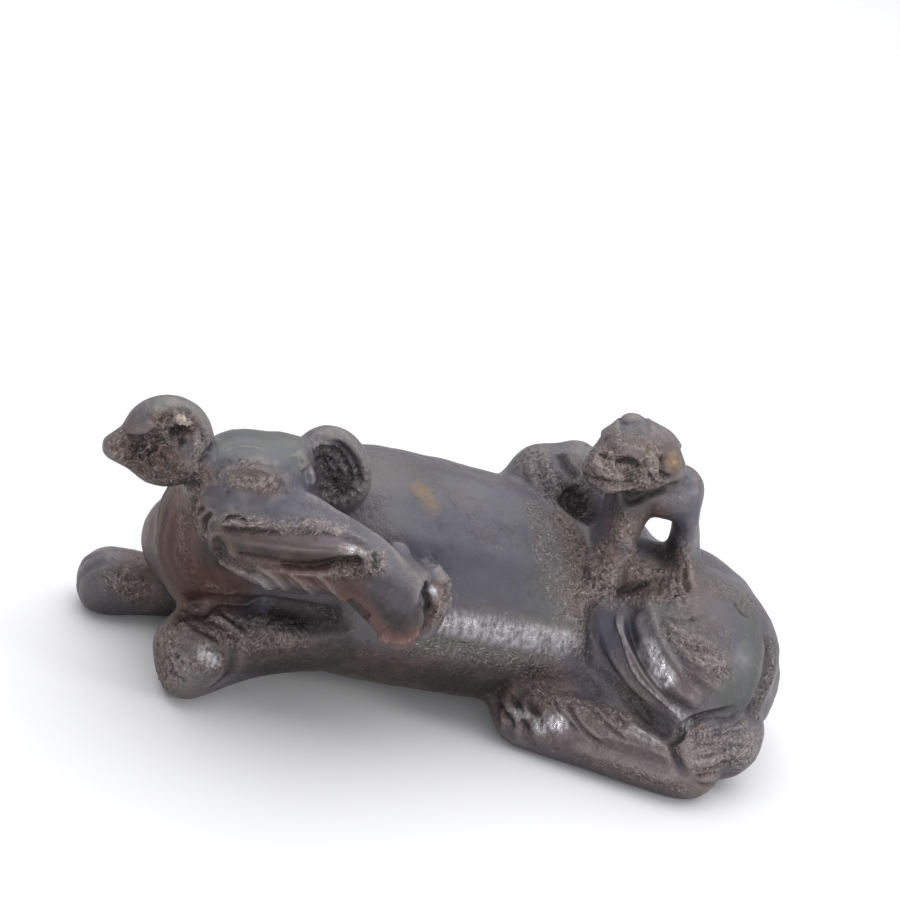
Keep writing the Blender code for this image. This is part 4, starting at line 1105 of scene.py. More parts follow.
@dataclass(frozen=True)
class Wear:
    """Where the figure is stained, burnished or worn through to the metal.

    Some of its soot stains are painted shade, and its polished places carry painted highlights.

    Attributes:
        places: each mark with its places: path, reach and, where it isn't 1, strength.
    """

    places: tuple[tuple[Mark, tuple[tuple, ...]], ...] = (
        (Mark.WARM, (
            (((-29.0, -4.0, 22.0), (-29.0, -4.0, 12.0)), 8.0),
            (((-29.0, 3.0, 20.0), (-29.0, 4.0, 9.0), (-28.0, 8.0, 8.0)), 9.0, 0.55),
            (((-25.0, -10.0, 21.5), (-14.0, -12.5, 21.5)), 3.6, 0.9),
            (((-9.0, -14.5, 16.0), (-7.6, -15.0, 17.0)), 2.6, 0.7),
            (((12.0, -4.0, 31.0), (16.0, -3.0, 31.5)), 5.0, 0.8),
            (((14.0, -4.5, 20.0), (22.0, -4.5, 19.6)), 4.0, 0.7),
            (((16.0, -2.6, 25.0), (18.0, -2.4, 26.0)), 3.0, 0.8),
            (((18.0, -11.0, 12.0), (24.0, -12.0, 13.0), (24.0, -7.0, 18.6)), 4.0, 0.35),
            (((-24.7, -9.2, 28.2), (-22.6, -9.2, 28.0)), 2.2, 0.5),
            (((-33.2, -8.6, 32.4), (-31.2, -8.6, 32.2)), 2.2, 0.9),
            (((-28.8, -5.0, 6.6), (-28.2, -6.4, 3.0)), 3.8),
            (((-25.0, -6.4, 7.0), (-14.0, -6.2, 7.0), (-4.0, -6.6, 6.4)), 4.0, 0.55),
            (((24.6, -15.8, 5.0), (26.0, -16.8, 3.4)), 2.6, 0.7),
            (((-10.0, -14.6, 18.6),), 2.6, 0.4),
            (((-4.4, -11.6, 19.2), (-5.0, -13.0, 16.6)), 2.2, 0.8),
            (((10.0, -10.0, 5.0), (26.0, -16.0, 4.0)), 5.0, 0.45),
            (((-8.0, -6.0, 5.5), (10.0, -7.0, 6.0)), 6.0, 0.7),
            (((10.6, 1.0, 21.8), (12.4, -5.6, 17.0)), 3.0, 0.5),
            (((-36.0, -7.6, 29.4), (-32.5, -8.5, 27.6), (-30.2, -8.2, 27.0)), 3.6, 0.9),
        )),
        # Soot in the ears, grooves and hollows, and painted shade on the neck, chest and belly, low on the
        # flank, under the jaw and mouth, and in the gap under the cub
        (Mark.SOOT_AND_SHADE, (
            (((-31.2, -1.0, 20.6), (-30.6, -2.6, 16.0), (-29.0, -4.0, 13.6)), 5.5),
            (((-29.8, -5.0, 22.0), (-28.6, -5.6, 17.0), (-27.0, -5.0, 13.4)), 4.0, 0.4),
            (((-26.0, -6.6, 17.0), (-21.0, -6.0, 13.0), (-14.0, -7.0, 14.0)), 5.0, 0.6),
            (((-19.0, -11.0, 17.4), (-14.0, -12.4, 17.2), (-11.0, -13.4, 17.0)), 2.6, 0.55),
            (((-12.6, -13.4, 20.6), (-9.6, -14.6, 19.6), (-8.0, -15.0, 18.2)), 3.4, 0.7),
            (((-24.4, -11.1, 21.9), (-18.9, -12.4, 23.1), (-16.1, -12.6, 23.4)), 1.8, 0.45),
            (((-34.8, -7.8, 28.4), (-32.0, -8.6, 27.4), (-30.4, -8.0, 26.4)), 2.6, 0.55),
            (((20.7, -0.9, 21.2), (19.0, 0.6, 21.3)), 2.6),
            (((-24.0, -6.4, 6.4), (-14.0, -6.2, 6.4), (-4.0, -6.6, 6.4)), 5.0, 0.42),
            (((0.0, -6.8, 6.4), (8.0, -7.6, 7.4)), 5.0, 0.65),
            (((-17.5, -5.0, 10.8), (-15.3, -5.4, 10.6), (-12.6, -5.9, 11.4)), 2.6),
            (((-19.0, -7.0, 6.4), (-16.3, -6.7, 6.5), (-11.5, -6.6, 8.2)), 3.4, 0.75),
            (((-34.0, 7.0, 4.6), (-29.0, 6.6, 4.0)), 5.0, 0.4),
            (((11.4, 5.2, 23.0), (13.0, 4.6, 21.2)), 3.0, 0.5),
            (((-4.0, 2.0, 24.0), (-2.0, -3.4, 21.6), (6.0, -1.0, 22.6), (8.6, -4.4, 19.6)), 6.0, 0.34),
            (((28.0, -7.0, 18.6), (30.4, -10.0, 14.6), (29.0, -12.0, 11.6)), 4.0, 0.34),
            (((27.0, 2.0, 20.6), (31.0, -2.0, 18.6), (33.6, -6.0, 14.6)), 5.0, 0.3),
            (((-26.0, -9.6, 25.8), (-19.0, -10.2, 25.4)), 2.2, 0.28),
            (((-33.2, -8.7, 32.4), (-31.4, -8.6, 32.0)), 1.8, 0.45),
            (((-5.4, -12.6, 18.0), (-5.6, -13.6, 16.2)), 1.6, 0.7),
            (((-16.4, -1.8, 27.2), (-15.0, -2.2, 24.6)), 3.0, 0.45),
            (((-34.0, -8.4, 28.6), (-31.8, -9.0, 30.4)), 2.4, 0.35),
            (((14.4, -2.6, 26.6), (16.8, -3.2, 27.0)), 2.2, 0.6),
            (((32.4, -8.6, 15.8), (32.6, -10.6, 12.6), (31.6, -12.0, 9.6)), 1.8, 0.5),
        )),
        (Mark.RUDDY, (
            (((-13.3, -13.4, 18.6), (-11.7, -14.0, 17.8), (-10.0, -14.0, 16.0), (-8.3, -14.8, 15.2),
              (-6.7, -14.9, 15.8)), 2.0, 0.65),
            (((-19.5, -12.2, 20.0), (-15.0, -12.9, 20.0), (-12.4, -13.4, 19.4)), 2.2, 0.3),
            (((-30.4, -3.0, 20.0), (-29.2, -3.6, 14.0), (-25.0, -5.0, 13.4)), 5.5, 0.5),
            (((14.6, -3.0, 22.4), (15.0, -3.4, 21.2)), 1.6, 0.4),
        )),
        (Mark.CREAM, (
            (((-31.7, -8.4, 33.1), (-31.0, -8.4, 32.4)), 0.8),
        )),
        (Mark.GREEN, (
            (((-33.0, -6.6, 33.4), (-30.4, -6.2, 33.4)), 3.2, 0.9),
            (((-26.0, -5.6, 30.2), (-20.0, -5.2, 29.4)), 3.6, 0.9),
            (((-15.3, -1.0, 30.0), (-12.0, -1.6, 27.0)), 2.4, 0.6),
            (((6.2, -0.7, 22.7), (7.7, -4.3, 20.3), (9.6, -6.6, 17.2)), 4.4, 0.5),
            (((-6.0, -7.0, 11.0), (6.0, -7.6, 10.0)), 3.4, 0.8),
            (((29.7, -7.8, 18.0), (30.0, -11.4, 14.6), (27.6, -12.6, 12.0)), 3.2, 0.8),
        )),
        (Mark.SMOOTH, (
            (((-5.5, -1.0, 23.2), (-3.0, -4.6, 20.8), (0.6, -6.2, 18.9)), 4.2),
            (((-2.0, 3.4, 24.0), (3.0, 1.0, 23.6), (4.6, -5.4, 19.0)), 2.6, 0.9),
            (((2.0, -7.2, 17.4), (8.4, -7.2, 16.6)), 1.7, 0.8),
            (((-12.6, -13.6, 20.0), (-10.3, -14.8, 19.6), (-8.3, -15.3, 17.8)), 2.4),
            (((-27.8, -9.3, 25.6), (-25.1, -10.0, 26.2), (-20.1, -10.4, 25.6)), 1.7),
            (((-28.4, -8.0, 29.4), (-24.4, -7.2, 30.2), (-21.2, -7.6, 29.4)), 1.4),
            (((-26.0, -5.4, 30.3), (-21.0, -5.0, 29.8)), 2.6),
            (((-24.0, -10.6, 22.2), (-16.4, -12.3, 23.2)), 1.3, 0.9),
            (((-18.8, -6.8, 26.6), (-13.0, -7.6, 23.8), (-9.0, -10.6, 22.6)), 2.2, 0.7),
            (((-33.4, -6.2, 33.8), (-30.8, -5.6, 34.0)), 2.0, 0.9),
            (((28.6, -10.4, 16.4), (29.4, -12.4, 13.0), (27.6, -13.0, 11.4)), 2.2, 0.9),
            (((17.6, -8.2, 15.4), (19.8, -12.0, 12.4)), 1.3, 0.8),
            (((15.0, -6.6, 15.0), (15.2, -7.8, 13.2)), 1.4, 0.7),
            (((24.4, -7.4, 18.6), (27.6, -8.6, 17.4)), 2.4, 0.7),
            (((21.6, -0.8, 29.7), (22.6, -2.6, 26.0)), 2.0, 0.8),
            (((-27.0, -7.6, 17.0), (-20.4, -5.2, 12.6)), 3.0, 0.7),
        )),
        # Painted highlights: pale metal colour painted on the flank's band, the haunch and its fold, the
        # lip, the forefoot, the bar's end and the hind toes, where the skin is also glossier
        (Mark.POLISH_AND_PAINTED_HIGHLIGHT, (
            (((-5.6, -8.4, 14.4), (0.0, -8.1, 13.9), (6.0, -8.2, 13.5), (10.6, -7.9, 13.0)), 1.9, 0.62),
            (((19.2, -10.4, 15.0), (20.9, -12.0, 13.0)), 1.5),
            (((-5.0, -12.2, 20.0),), 0.8, 0.8),
            (((-25.2, -7.8, 7.4), (-24.3, -7.9, 6.7)), 1.3, 0.7),
            (((-14.4, -12.3, 23.3), (-13.2, -12.2, 23.2)), 0.9),
            (((9.6, -11.2, 4.8), (11.4, -11.4, 5.6)), 1.3, 0.9),
            (((6.6, -9.2, 5.2), (8.2, -10.4, 5.2)), 0.8, 0.6),
            (((18.4, -13.4, 7.0), (20.8, -14.6, 6.6)), 0.8, 0.5),
            (((16.1, -7.7, 15.5), (16.7, -9.7, 14.2), (18.2, -11.5, 12.1), (20.2, -12.8, 10.9)), 0.5, 0.4),
            (((22.2, -13.4, 10.0), (23.8, -14.0, 8.4)), 0.9, 0.45),
        )),
        (Mark.GOLD, (
            (((-5.6, 1.2, 23.9), (-4.3, -0.9, 23.2)), 1.9, 0.8),
            (((18.2, -3.5, 32.9),), 2.0, 0.95),
            (((-15.2, -12.2, 23.5), (-13.0, -12.2, 23.3)), 0.8, 0.55),
            (((25.1, -13.9, 8.3),), 0.9, 0.6),
            (((21.6, -11.6, 15.7),), 0.6, 0.5),
            (((-33.3, -8.7, 31.9),), 0.8, 0.35),
        )),
    )

    def stains(self) -> Iterable[Stain]:
        """List the stains.

        Returns:
            Each stain, mark by mark.
        """
        for mark, rows in self.places:
            for row in rows:
                yield Stain(mark, *row)


class Signal:
    """A value that runs along a wire of the shader, with arithmetic."""

    def __init__(self, web: Web, socket: bpy.types.NodeSocket) -> None:
        """Wrap an output socket.

        Args:
            web: the web that it belongs to.
            socket: the socket.
        """
        self.web = web
        self.socket = socket

    def __add__(self, other: Signal | float) -> Signal:
        """Return the sum."""
        return self.web.reckon("ADD", self, other)

    def __radd__(self, other: float) -> Signal:
        """Return the sum, reflected."""
        return self.web.reckon("ADD", other, self)

    def __sub__(self, other: Signal | float) -> Signal:
        """Return the difference."""
        return self.web.reckon("SUBTRACT", self, other)

    def __rsub__(self, other: float) -> Signal:
        """Return the difference, reflected."""
        return self.web.reckon("SUBTRACT", other, self)

    def __mul__(self, other: Signal | float) -> Signal:
        """Return the product."""
        return self.web.reckon("MULTIPLY", self, other)

    def __rmul__(self, other: float) -> Signal:
        """Return the product, reflected."""
        return self.web.reckon("MULTIPLY", other, self)

    def clipped(self) -> Signal:
        """Return the value held between 0 and 1."""
        return self.web.node("ShaderNodeClamp", {}, {"Value": self})

    def stepped(self, low: float, high: float) -> Signal:
        """Return the smooth step of the value from low to high.

        Args:
            low: where the step starts, giving 0.
            high: where it ends, giving 1.

        Returns:
            The stepped value.
        """
        settings = {"interpolation_type": "SMOOTHSTEP"}
        return self.web.node(
            "ShaderNodeMapRange", settings, {"Value": self, "From Min": low, "From Max": high}
        )


class Web:
    """The node web of one material."""

    def __init__(self, name: str) -> None:
        """Start a material with nothing but its shader.

        Args:
            name: the material's name.
        """
        self.material = bpy.data.materials.new(name)
        self.material.use_nodes = True
        self.nodes = self.material.node_tree.nodes
        self.links = self.material.node_tree.links
        self.shader = self.nodes["Principled BSDF"]

    def node(
        self, kind: str, settings: dict[str, object], sockets: dict[str | int, object], out: str | int = 0
    ) -> Signal:
        """Add a node.

        Args:
            kind: the node's type.
            settings: its own settings, set first.
            sockets: values or signals of its inputs, by name or number.
            out: the output that is wanted.

        Returns:
            The signal of that output.
        """
        made = self.nodes.new(kind)
        for key, value in settings.items():
            setattr(made, key, value)
        for key, value in sockets.items():
            self.feed(made.inputs[key], value)
        return Signal(self, made.outputs[out])

    def feed(self, socket: bpy.types.NodeSocket, value: object) -> None:
        """Link a signal to an input, or set the input's own value.

        Args:
            socket: the input.
            value: the signal or the value.
        """
        if isinstance(value, Signal):
            self.links.new(value.socket, socket)
        else:
            socket.default_value = value

    def reckon(self, operation: str, first: Signal | float, second: Signal | float) -> Signal:
        """Add a Math node for two values."""
        return self.node("ShaderNodeMath", {"operation": operation}, {0: first, 1: second})

    def mark(self, mark: Mark) -> Signal:
        """Read one of the skin's marks."""
        return self.node("ShaderNodeAttribute", {"attribute_name": mark.value}, {}, "Fac")

    def grain(
        self, place: Signal, scale: float, detail: float = 3.0, rough: float = 0.5, bend: float = 0.0
    ) -> Signal:
        """Add a noise.

        Args:
            place: where it is read.
            scale: its swells to a millimetre.
            detail: its octaves.
            rough: how strong the finer ones are.
            bend: how far it is bent out of shape.

        Returns:
            The noise, about 0.5.
        """
        sockets = {"Vector": place, "Scale": scale, "Detail": detail, "Roughness": rough, "Distortion": bend}
        return self.node("ShaderNodeTexNoise", {}, sockets, "Fac")

    def blend(self, share: Signal | float, first: Signal | Colour, second: Signal | Colour) -> Signal:
        """Mix two colours.

        Args:
            share: how much of the second shows.
            first: the first colour.
            second: the second colour.

        Returns:
            The mixed colour.
        """
        settings = {"data_type": "RGBA", "clamp_factor": True}
        sockets = {0: share, 6: self.full(first), 7: self.full(second)}
        return self.node("ShaderNodeMix", settings, sockets, 2)

    def full(self, colour: Signal | Colour) -> Signal | tuple[float, ...]:
        """Return a colour with its alpha, or a signal as it is."""
        return colour if isinstance(colour, Signal) else (*colour, 1.0)


@dataclass(frozen=True)
class Patina:
    """Old copper: dark patina, dirt in the recesses, metal where it is worn.

    The shader also paints shade on the undersides and in closed-in places, and
    highlights where the skin is polished.

    Attributes:
        slate: colour of the patina.
        violet: its burnished places.
        moss: its greenish places.
        umber: its warm brown places.
        ruddy: the red of thin patina at the lips.
        soot_and_shade: the darkest colour, for soot in the deepest recesses and for painted shade.
        dust: pale dirt on the wrinkles; it also colours flecks painted as glints.
        cream: the pale crust in the ear.
        rubbed: crests that hands have rubbed.
        painted_sheen: pale metal colour, painted as a highlight where the skin is polished.
        brass: the golden spots.
    """

    slate: Colour = (0.080, 0.076, 0.080)
    violet: Colour = (0.068, 0.065, 0.086)
    moss: Colour = (0.076, 0.085, 0.074)
    umber: Colour = (0.092, 0.054, 0.044)
    ruddy: Colour = (0.140, 0.064, 0.050)
    # Darkest colour: soot in the recesses, and painted shade
    soot_and_shade: Colour = (0.012, 0.009, 0.009)
    dust: Colour = (0.330, 0.285, 0.275)
    cream: Colour = (0.430, 0.360, 0.300)
    rubbed: Colour = (0.190, 0.168, 0.165)
    # Pale metal colour painted as a highlight on polished places
    painted_sheen: Colour = (0.520, 0.510, 0.530)
    brass: Colour = (0.178, 0.112, 0.048)

    def build(self) -> bpy.types.Material:
        """Build the material.

        Returns:
            The finished material.
        """
        web = Web("patinated_copper")
        bare = web.node("ShaderNodeTexCoord", {}, {}, "Object")
        place = web.node("ShaderNodeVectorMath", {"operation": "SCALE"}, {0: bare, "Scale": 1.0 / MM})
        cloud = web.grain(place, 0.11, 3.0)
        patch = web.grain(place, 0.45, 5.0, 0.65)
        mottle = web.grain(place, 1.5, 4.0, 0.6)
        speck = web.grain(place, 3.2, 3.0, 0.6)
        hatch = self.hatch(web, place)
        light, dark = hatch.stepped(0.52, 0.67), 1.0 - hatch.stepped(0.33, 0.48)
        streak = self.streaks(web, place)
        crest, shelter, soot_and_shade = web.mark(Mark.CREST), web.mark(Mark.SHELTER), web.mark(Mark.SOOT_AND_SHADE)
        polish_and_painted_highlight, smooth, dusty = web.mark(Mark.POLISH_AND_PAINTED_HIGHLIGHT), web.mark(Mark.SMOOTH), web.mark(Mark.DUST)
        wild = (web.mark(Mark.ROUGH) * 0.80 + 0.28 + (patch - 0.5) * 1.6 - smooth * 0.85).clipped()

        tone = web.blend(cloud.stepped(0.36, 0.64), self.slate, self.violet)
        tone = web.blend(smooth * 0.6, tone, self.violet)
        tone = web.blend(web.mark(Mark.GREEN) * patch.stepped(0.30, 0.60), tone, self.moss)
        warmth = (web.mark(Mark.WARM) * (patch * 0.8 + 0.55) + wild * 0.2).clipped()
        tone = web.blend(warmth, tone, self.umber)
        worn = crest * 0.8 + (patch - 0.5) * 0.8 + (mottle - 0.5) * 1.2
        worn = worn - shelter * 0.4 - soot_and_shade * 0.4 - smooth * 0.15
        rubbed = worn.stepped(0.10, 0.90)
        tone = web.blend(rubbed * 0.6, tone, self.rubbed)
        haze = (wild * (dusty * 0.32 + 0.10) * (mottle * 2.0 - 0.4)).clipped()
        tone = web.blend(haze, tone, self.dust)
        # Painted shade with dirt: darker towards the soot colour where the skin is closed in or faces down,
        # where soot lies and in hollows
        painted_shade_and_dirt = shelter.stepped(0.30, 0.95) * 0.5 + web.mark(Mark.UNDERSIDE_SHADE) * 0.45 + soot_and_shade * 0.85
        painted_shade_and_dirt = painted_shade_and_dirt + web.mark(Mark.HOLLOW) * 0.35 + (patch - 0.5) * 0.5 + (mottle - 0.5) * 0.8
        tone = web.blend(painted_shade_and_dirt.stepped(0.05, 1.05) * 0.9, tone, self.soot_and_shade)
        blush = (web.mark(Mark.RUDDY) * (patch * 0.9 + 0.35)).clipped()
        tone = web.blend(blush, tone, self.ruddy)
        tone = web.blend((dark * wild * 0.75).clipped(), tone, self.soot_and_shade)
        dust = (light * wild * (dusty * 0.60 + 0.50) * (1.0 - soot_and_shade * 0.5)).clipped()
        tone = web.blend(dust, tone, self.dust)
        # Pale flecks: dust specks, and painted glints standing for tiny facets that catch the light
        dust_and_painted_glint = speck.stepped(0.65, 0.72) * (0.25 + wild * 0.5)
        dust_and_painted_glint = dust_and_painted_glint + hatch.stepped(0.62, 0.76) * (wild * 0.6 + 0.05)
        tone = web.blend((dust_and_painted_glint * (1.0 - soot_and_shade * 0.6)).clipped(), tone, self.dust)
        # Painted highlight: pale metal colour painted on polished places, streaked along the rubbing marks;
        # it also raises the metallic share there
        painted_glint = (polish_and_painted_highlight * (streak * 0.75 + hatch * 0.4 + (mottle - 0.5) * 1.2 - 0.05)).clipped()
        tone = web.blend(painted_glint, tone, self.painted_sheen)
        gilt = (web.mark(Mark.GOLD) + (speck - 0.5) * 1.2 + (patch - 0.5) * 0.8).stepped(0.35, 1.30)
        tone = web.blend(gilt * 0.9, tone, self.brass)
        crust = (web.mark(Mark.CREAM) * (hatch * 2.2 - 0.2)).stepped(0.25, 0.90)
        tone = web.blend(crust, tone, self.cream)
        web.feed(web.shader.inputs["Base Color"], tone)

        metal = 0.08 + rubbed * 0.2 + warmth * 0.25 + blush * 0.3
        metal = metal + painted_glint * 0.8 + gilt * 0.4 - dust * 0.3 - crust
        web.feed(web.shader.inputs["Metallic"], metal.clipped())
        gloss = 0.43 + (patch - 0.5) * 0.3 - polish_and_painted_highlight * 0.27 - smooth * 0.03 + dust * 0.15 + soot_and_shade * 0.17
        web.feed(web.shader.inputs["Roughness"], gloss.clipped())
        web.shader.inputs["Specular IOR Level"].default_value = 0.40
        height = hatch * wild * 0.17 + mottle * (wild * 0.18 + 0.015)
        height = height + speck * (wild * 0.02 + 0.006) + streak * polish_and_painted_highlight * 0.03
        bump = web.node("ShaderNodeBump", {}, {"Strength": 1.0, "Distance": 1.0 * MM, "Height": height})
        web.feed(web.shader.inputs["Normal"], bump)
        return web.material

    def hatch(self, web: Web, place: Signal) -> Signal:
        """Draw short scratches, which lie one way in one patch and another way in the next.

        Args:
            web: the material's web.
            place: places in millimetres.

        Returns:
            The scratches, about 0.5.
        """
        ways = ((0.0, -0.22, -0.15), (0.0, -1.06, 1.82), (0.0, -0.87, 0.36), (0.0, 0.48, -0.52))
        fields = []
        for way in ways:
            sockets = {"Vector": place, "Rotation": way, "Scale": (0.72, 0.20, 0.20)}
            laid = web.node("ShaderNodeMapping", {"vector_type": "TEXTURE"}, sockets)
            fields.append(web.grain(laid, 1.0, 4.0, 0.62, 0.3))
        aside = web.node("ShaderNodeVectorMath", {"operation": "ADD"}, {0: place, 1: (31.0, 17.0, 53.0)})
        choice = web.grain(place, 0.6, 2.0).stepped(0.46, 0.54)
        first = fields[0] + (fields[1] - fields[0]) * choice
        second = fields[2] + (fields[3] - fields[2]) * choice
        return first + (second - first) * web.grain(aside, 0.5, 2.0).stepped(0.46, 0.54)

    def streaks(self, web: Web, place: Signal) -> Signal:
        """Draw the fine rubbing marks that run round the body.

        Args:
            web: the material's web.
            place: places in millimetres.

        Returns:
            The marks, from 0 to 1.
        """
        drawn = web.node("ShaderNodeVectorMath", {"operation": "MULTIPLY"}, {0: place, 1: (2.6, 0.5, 0.7)})
        return web.grain(drawn, 1.0, 4.0, 0.6, 0.4).stepped(0.35, 0.65)


@dataclass
class Casting:
    """The casting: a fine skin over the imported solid, worked and dressed.

    Attributes:
        weld: how close vertices of the solid are made one, in millimetres.
        rounding: levels of subdivision that round the solid's facets off.
        step: the fine skin's step, in millimetres.
        soften: rounds that take the solid's facets away.
        triangles: what the finished skin may hold.
        swell: how far the skin wanders, in millimetres.
        pits: how many casting pits there are.
        rubs: how widely a burnished place is averaged.
        swells: each swell's share of the height, its size in millimetres and its offset.
        pit_seed: seed of the pits.
        noise_seed: seed of the noise that bends the wrinkles.
        fine: rounds of averaging and full relief in millimetres, for fine hollows and crests.
        broad: the same for broad ones.
        rays: how many rays tell how closed in a place is.
        ray_seed: seed of their directions.
        ray_lift: how far from the surface they start, in millimetres.
        ray_reach: how far they go, in millimetres.
        parts: the figure's parts, in the order they are worked.
    """

    weld: float = 0.002
    rounding: int = 2
    step: float = 0.21
    soften: int = 7
    triangles: int = 190_000
    swell: float = 0.10
    pits: int = 320
    rubs: int = 60
    swells: tuple[tuple[float, float, float], ...] = ((1.0, 3.2, 3.0), (0.5, 1.3, 9.0))
    pit_seed: int = 5
    noise_seed: int = 7
    fine: tuple[int, float] = (10, 0.06)
    broad: tuple[int, float] = (90, 0.30)
    rays: int = 40
    ray_seed: int = 11
    ray_lift: float = 0.3
    ray_reach: float = 14.0
    parts: tuple[Part, ...] = field(
        default_factory=lambda: (Back(), Neck(), Head(), Ears(), Mouth(), Haunch(), Feet(), Tail(), Cub())
    )

    def fine_copy(self, solid: bpy.types.Object) -> bpy.types.Object:
        """Copy the solid's skin at a fine step.

        Args:
            solid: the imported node. It isn't changed.

        Returns:
            The new object.
        """
        mesh = solid.data.copy()
        mesh.transform(solid.matrix_world)
        mesh.name = "casting"
        piece = bpy.data.objects.new("casting", mesh)
        bpy.context.scene.collection.objects.link(piece)
        weld = piece.modifiers.new("weld", "WELD")
        weld.merge_threshold = self.weld * MM
        round_off = piece.modifiers.new("round_off", "SUBSURF")
        round_off.levels = self.rounding
        round_off.render_levels = self.rounding
        remesh = piece.modifiers.new("skin", "REMESH")
        remesh.mode = "VOXEL"
        remesh.voxel_size = self.step * MM
        smooth = piece.modifiers.new("soften", "SMOOTH")
        smooth.factor = 0.5
        smooth.iterations = self.soften
        self.bake(piece)
        return piece

    def bake(self, piece: bpy.types.Object) -> None:
        """Replace an object's mesh with its evaluated mesh.

        Args:
            piece: the object, which loses its modifiers.
        """
        bpy.context.view_layer.update()
        graph = bpy.context.evaluated_depsgraph_get()
        mesh = bpy.data.meshes.new_from_object(piece.evaluated_get(graph))
        piece.modifiers.clear()
        piece.data = mesh

    def shelter(self, solid: bpy.types.Object, skin: Skin) -> None:
        """Mark how closed in each place is, by rays from the solid's vertices.

        Args:
            solid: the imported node, coarse enough to be quick.
            skin: the skin to mark.
        """
        mesh = solid.data
        points = [Vector(v.co) / MM - Vector(PLAN_ORIGIN) for v in mesh.vertices]
        faces = [tuple(p.vertices) for p in mesh.polygons]
        finder = BVHTree.FromPolygons(points, faces)
        chance = np.random.default_rng(self.ray_seed)
        rays = chance.normal(size=(self.rays, 3))
        rays /= np.linalg.norm(rays, axis=1)[:, None]
        tree = KDTree(len(points))
        closed = np.zeros(len(points))
        for number, point in enumerate(points):
            normal = mesh.vertices[number].normal
            met = 0.0
            for ray in rays:
                way = Vector(ray) + normal * 1.02
                way.normalize()
                hit = finder.ray_cast(point + normal * self.ray_lift, way, self.ray_reach)
                if hit[0] is not None:
                    met += 1.0 - 0.5 * hit[3] / self.ray_reach
            closed[number] = met / len(rays)
            tree.insert(point, number)
        tree.balance()
        value = skin.marks[Mark.SHELTER]
        for number, place in enumerate(skin.rest):
            total, share = 0.0, 0.0
            for _, other, away in tree.find_n(place, 3):
                pull = 1.0 / (away + 0.2)
                total += closed[other] * pull
                share += pull
            value[number] = total / share

    def work(self, skin: Skin) -> None:
        """Rub, cut, roughen, pit and stain the skin, part by part.

        Args:
            skin: the skin to work.
        """
        # Left alone, noise_vector takes its seed from the clock and each run differs
        noise.seed_set(self.noise_seed)
        skin.burnish([place for part in self.parts for place in part.burnishes()], self.rubs)
        for share, size, offset in self.swells:
            skin.wander(self.swell * share, size, offset)
        for part in self.parts:
            for stroke in part.strokes():
                skin.press(stroke)
            for stipple in part.stipples():
                skin.stipple(stipple)
        skin.pit(self.pits, self.pit_seed)
        for stain in Wear().stains():
            skin.stain(stain)
        skin.write()
        fine_hollow, fine_crest = skin.read_relief(*self.fine)
        broad_hollow, broad_crest = skin.read_relief(*self.broad)
        skin.marks[Mark.HOLLOW] = np.clip(0.6 * fine_hollow + 0.7 * broad_hollow, 0.0, 1.0)
        skin.marks[Mark.CREST] = np.clip(0.5 * fine_crest + 0.8 * broad_crest, 0.0, 1.0)
        # Painted shade: the more the skin faces down, the darker the shader paints it
        skin.marks[Mark.UNDERSIDE_SHADE] = ease((0.35 - skin.facing[:, 2]) / 1.2)

    def thin(self, piece: bpy.types.Object, skin: Skin) -> None:
        """Bring the skin down to its triangles, where it is smooth, and carry the marks over.

        Args:
            piece: the fine object.
            skin: its skin, with the marks.
        """
        tree = KDTree(len(skin.rest))
        for number, vertex in enumerate(piece.data.vertices):
            tree.insert(vertex.co, number)
        tree.balance()
        count = sum(len(p.vertices) - 2 for p in piece.data.polygons)
        thin = piece.modifiers.new("thin", "DECIMATE")
        thin.ratio = min(1.0, self.triangles / count)
        thin.use_collapse_triangulate = True
        self.bake(piece)
        mesh = piece.data
        nearest = np.array([tree.find(vertex.co)[1] for vertex in mesh.vertices])
        for mark, values in skin.marks.items():
            layer = mesh.attributes.new(mark.value, "FLOAT", "POINT")
            layer.data.foreach_set("value", values[nearest].astype(np.float32))
        mesh.polygons.foreach_set("use_smooth", [True] * len(mesh.polygons))
        mesh.update()

    def build(self, solid: bpy.types.Object) -> bpy.types.Object:
        """Build the finished casting.

        Args:
            solid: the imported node.

        Returns:
            The dressed piece, riding on the body.
        """
        piece = self.fine_copy(solid)
        skin = Skin(piece.data)
        self.shelter(solid, skin)
        self.work(skin)
        self.thin(piece, skin)
        piece.data.materials.clear()
        piece.data.materials.append(Patina().build())
        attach(piece, BODY)
        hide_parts(NODE)
        return piece


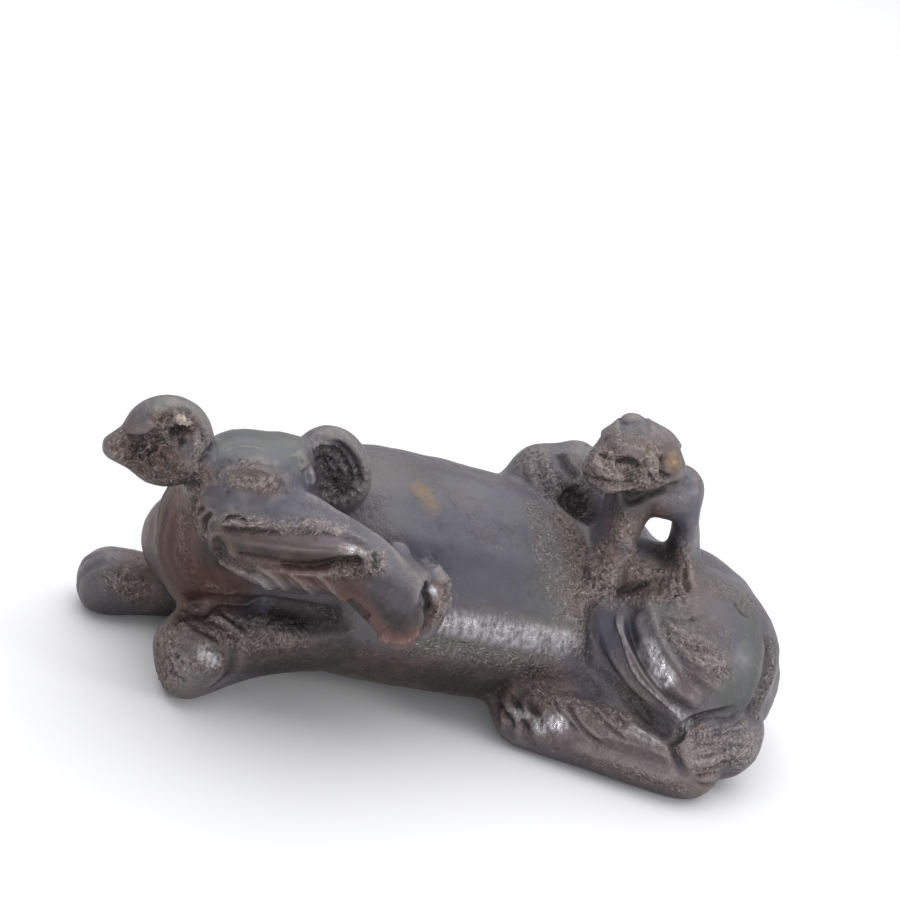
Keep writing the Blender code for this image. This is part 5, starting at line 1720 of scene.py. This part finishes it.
@dataclass
class Studio:
    """The plain floor, the soft lights and the camera.

    Attributes:
        standpoint: the camera's place, in millimetres on the plan.
        turn: its turn from straight across, in degrees.
        dip: how far it looks down.
        roll: its tilt to the side.
        lens: its focal length, in millimetres.
        floor_size: the floor's side, in metres.
        floor_drop: how far it lies below the figure, in metres.
        lights: each light's name, place and size in millimetres, and its power in watts.
    """

    standpoint: Point = (-53.21, -184.97, 122.58)
    turn: float = 15.0
    dip: float = 26.0
    roll: float = 14.0
    lens: float = 85.0
    floor_size: float = 8.0
    floor_drop: float = 0.00005
    lights: tuple[tuple[str, Point, tuple[float, float], float], ...] = (
        ("top_soft", (60.0, 120.0, 460.0), (900.0, 700.0), 4.3),
        ("front_window", (-78.0, -430.0, 92.0), (110.0, 110.0), 0.55),
        ("right_window", (390.0, -225.0, 150.0), (130.0, 130.0), 0.75),
    )

    def lay_floor(self) -> bpy.types.Object:
        """Lay the floor.

        Returns:
            The floor, which isn't part of the object.
        """
        half = self.floor_size / 2.0
        mesh = bpy.data.meshes.new("floor")
        corners = [(-half, -half, 0.0), (half, -half, 0.0), (half, half, 0.0), (-half, half, 0.0)]
        mesh.from_pydata(corners, [], [(0, 1, 2, 3)])
        floor = bpy.data.objects.new("floor", mesh)
        floor.location.z = -self.floor_drop
        bpy.context.scene.collection.objects.link(floor)
        web = Web("pale_floor")
        web.shader.inputs["Base Color"].default_value = (0.70, 0.70, 0.71, 1.0)
        web.shader.inputs["Roughness"].default_value = 0.9
        mesh.materials.append(web.material)
        return floor

    def hang_light(self, name: str, place: Point, size: tuple[float, float], power: float) -> None:
        """Hang a soft light that faces the figure.

        Args:
            name: its name.
            place: where it hangs, in millimetres.
            size: its width and height, in millimetres.
            power: its power in watts.
        """
        lamp = bpy.data.lights.new(name, "AREA")
        lamp.shape = "RECTANGLE"
        lamp.size, lamp.size_y = size[0] * MM, size[1] * MM
        lamp.energy = power
        hung = bpy.data.objects.new(name, lamp)
        hung.location = Vector(place) * MM
        aim = Vector((0.0, 0.0, 12.0)) * MM - hung.location
        hung.rotation_euler = aim.to_track_quat("-Z", "Y").to_euler()
        hung.visible_camera = False
        bpy.context.scene.collection.objects.link(hung)

    def light(self) -> None:
        """Hang the lights and set the pale surround."""
        world = bpy.data.worlds.new("surround")
        world.use_nodes = True
        ground = world.node_tree.nodes["Background"]
        ground.inputs["Color"].default_value = (0.97, 0.98, 1.0, 1.0)
        ground.inputs["Strength"].default_value = 0.56
        bpy.context.scene.world = world
        for light in self.lights:
            self.hang_light(*light)

    def place_camera(self) -> None:
        """Place the camera at the photograph's standpoint."""
        camera = bpy.data.cameras.new("camera")
        camera.lens = self.lens
        camera.sensor_width = 36.0
        camera.clip_start = 0.005
        seen = bpy.data.objects.new("camera", camera)
        aim = Matrix.Rotation(math.radians(-self.turn), 4, "Z")
        aim @= Matrix.Rotation(math.radians(90.0 - self.dip), 4, "X")
        aim @= Matrix.Rotation(math.radians(self.roll), 4, "Z")
        stand = Vector(self.standpoint) + Vector(PLAN_ORIGIN)
        seen.matrix_world = Matrix.Translation(stand * MM) @ aim
        bpy.context.scene.collection.objects.link(seen)
        bpy.context.scene.camera = seen


def main() -> None:
    """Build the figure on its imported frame, then the studio round it."""
    logging.basicConfig(level=logging.INFO, format="%(name)s: %(message)s")
    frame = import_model()
    piece = Casting().build(frame["nodes"][NODE])
    log.info("casting: %d triangles", len(piece.data.polygons))
    studio = Studio()
    studio.lay_floor()
    studio.light()
    studio.place_camera()
    bpy.context.scene.view_settings.view_transform = "Standard"


if __name__ == "__main__":
    main()
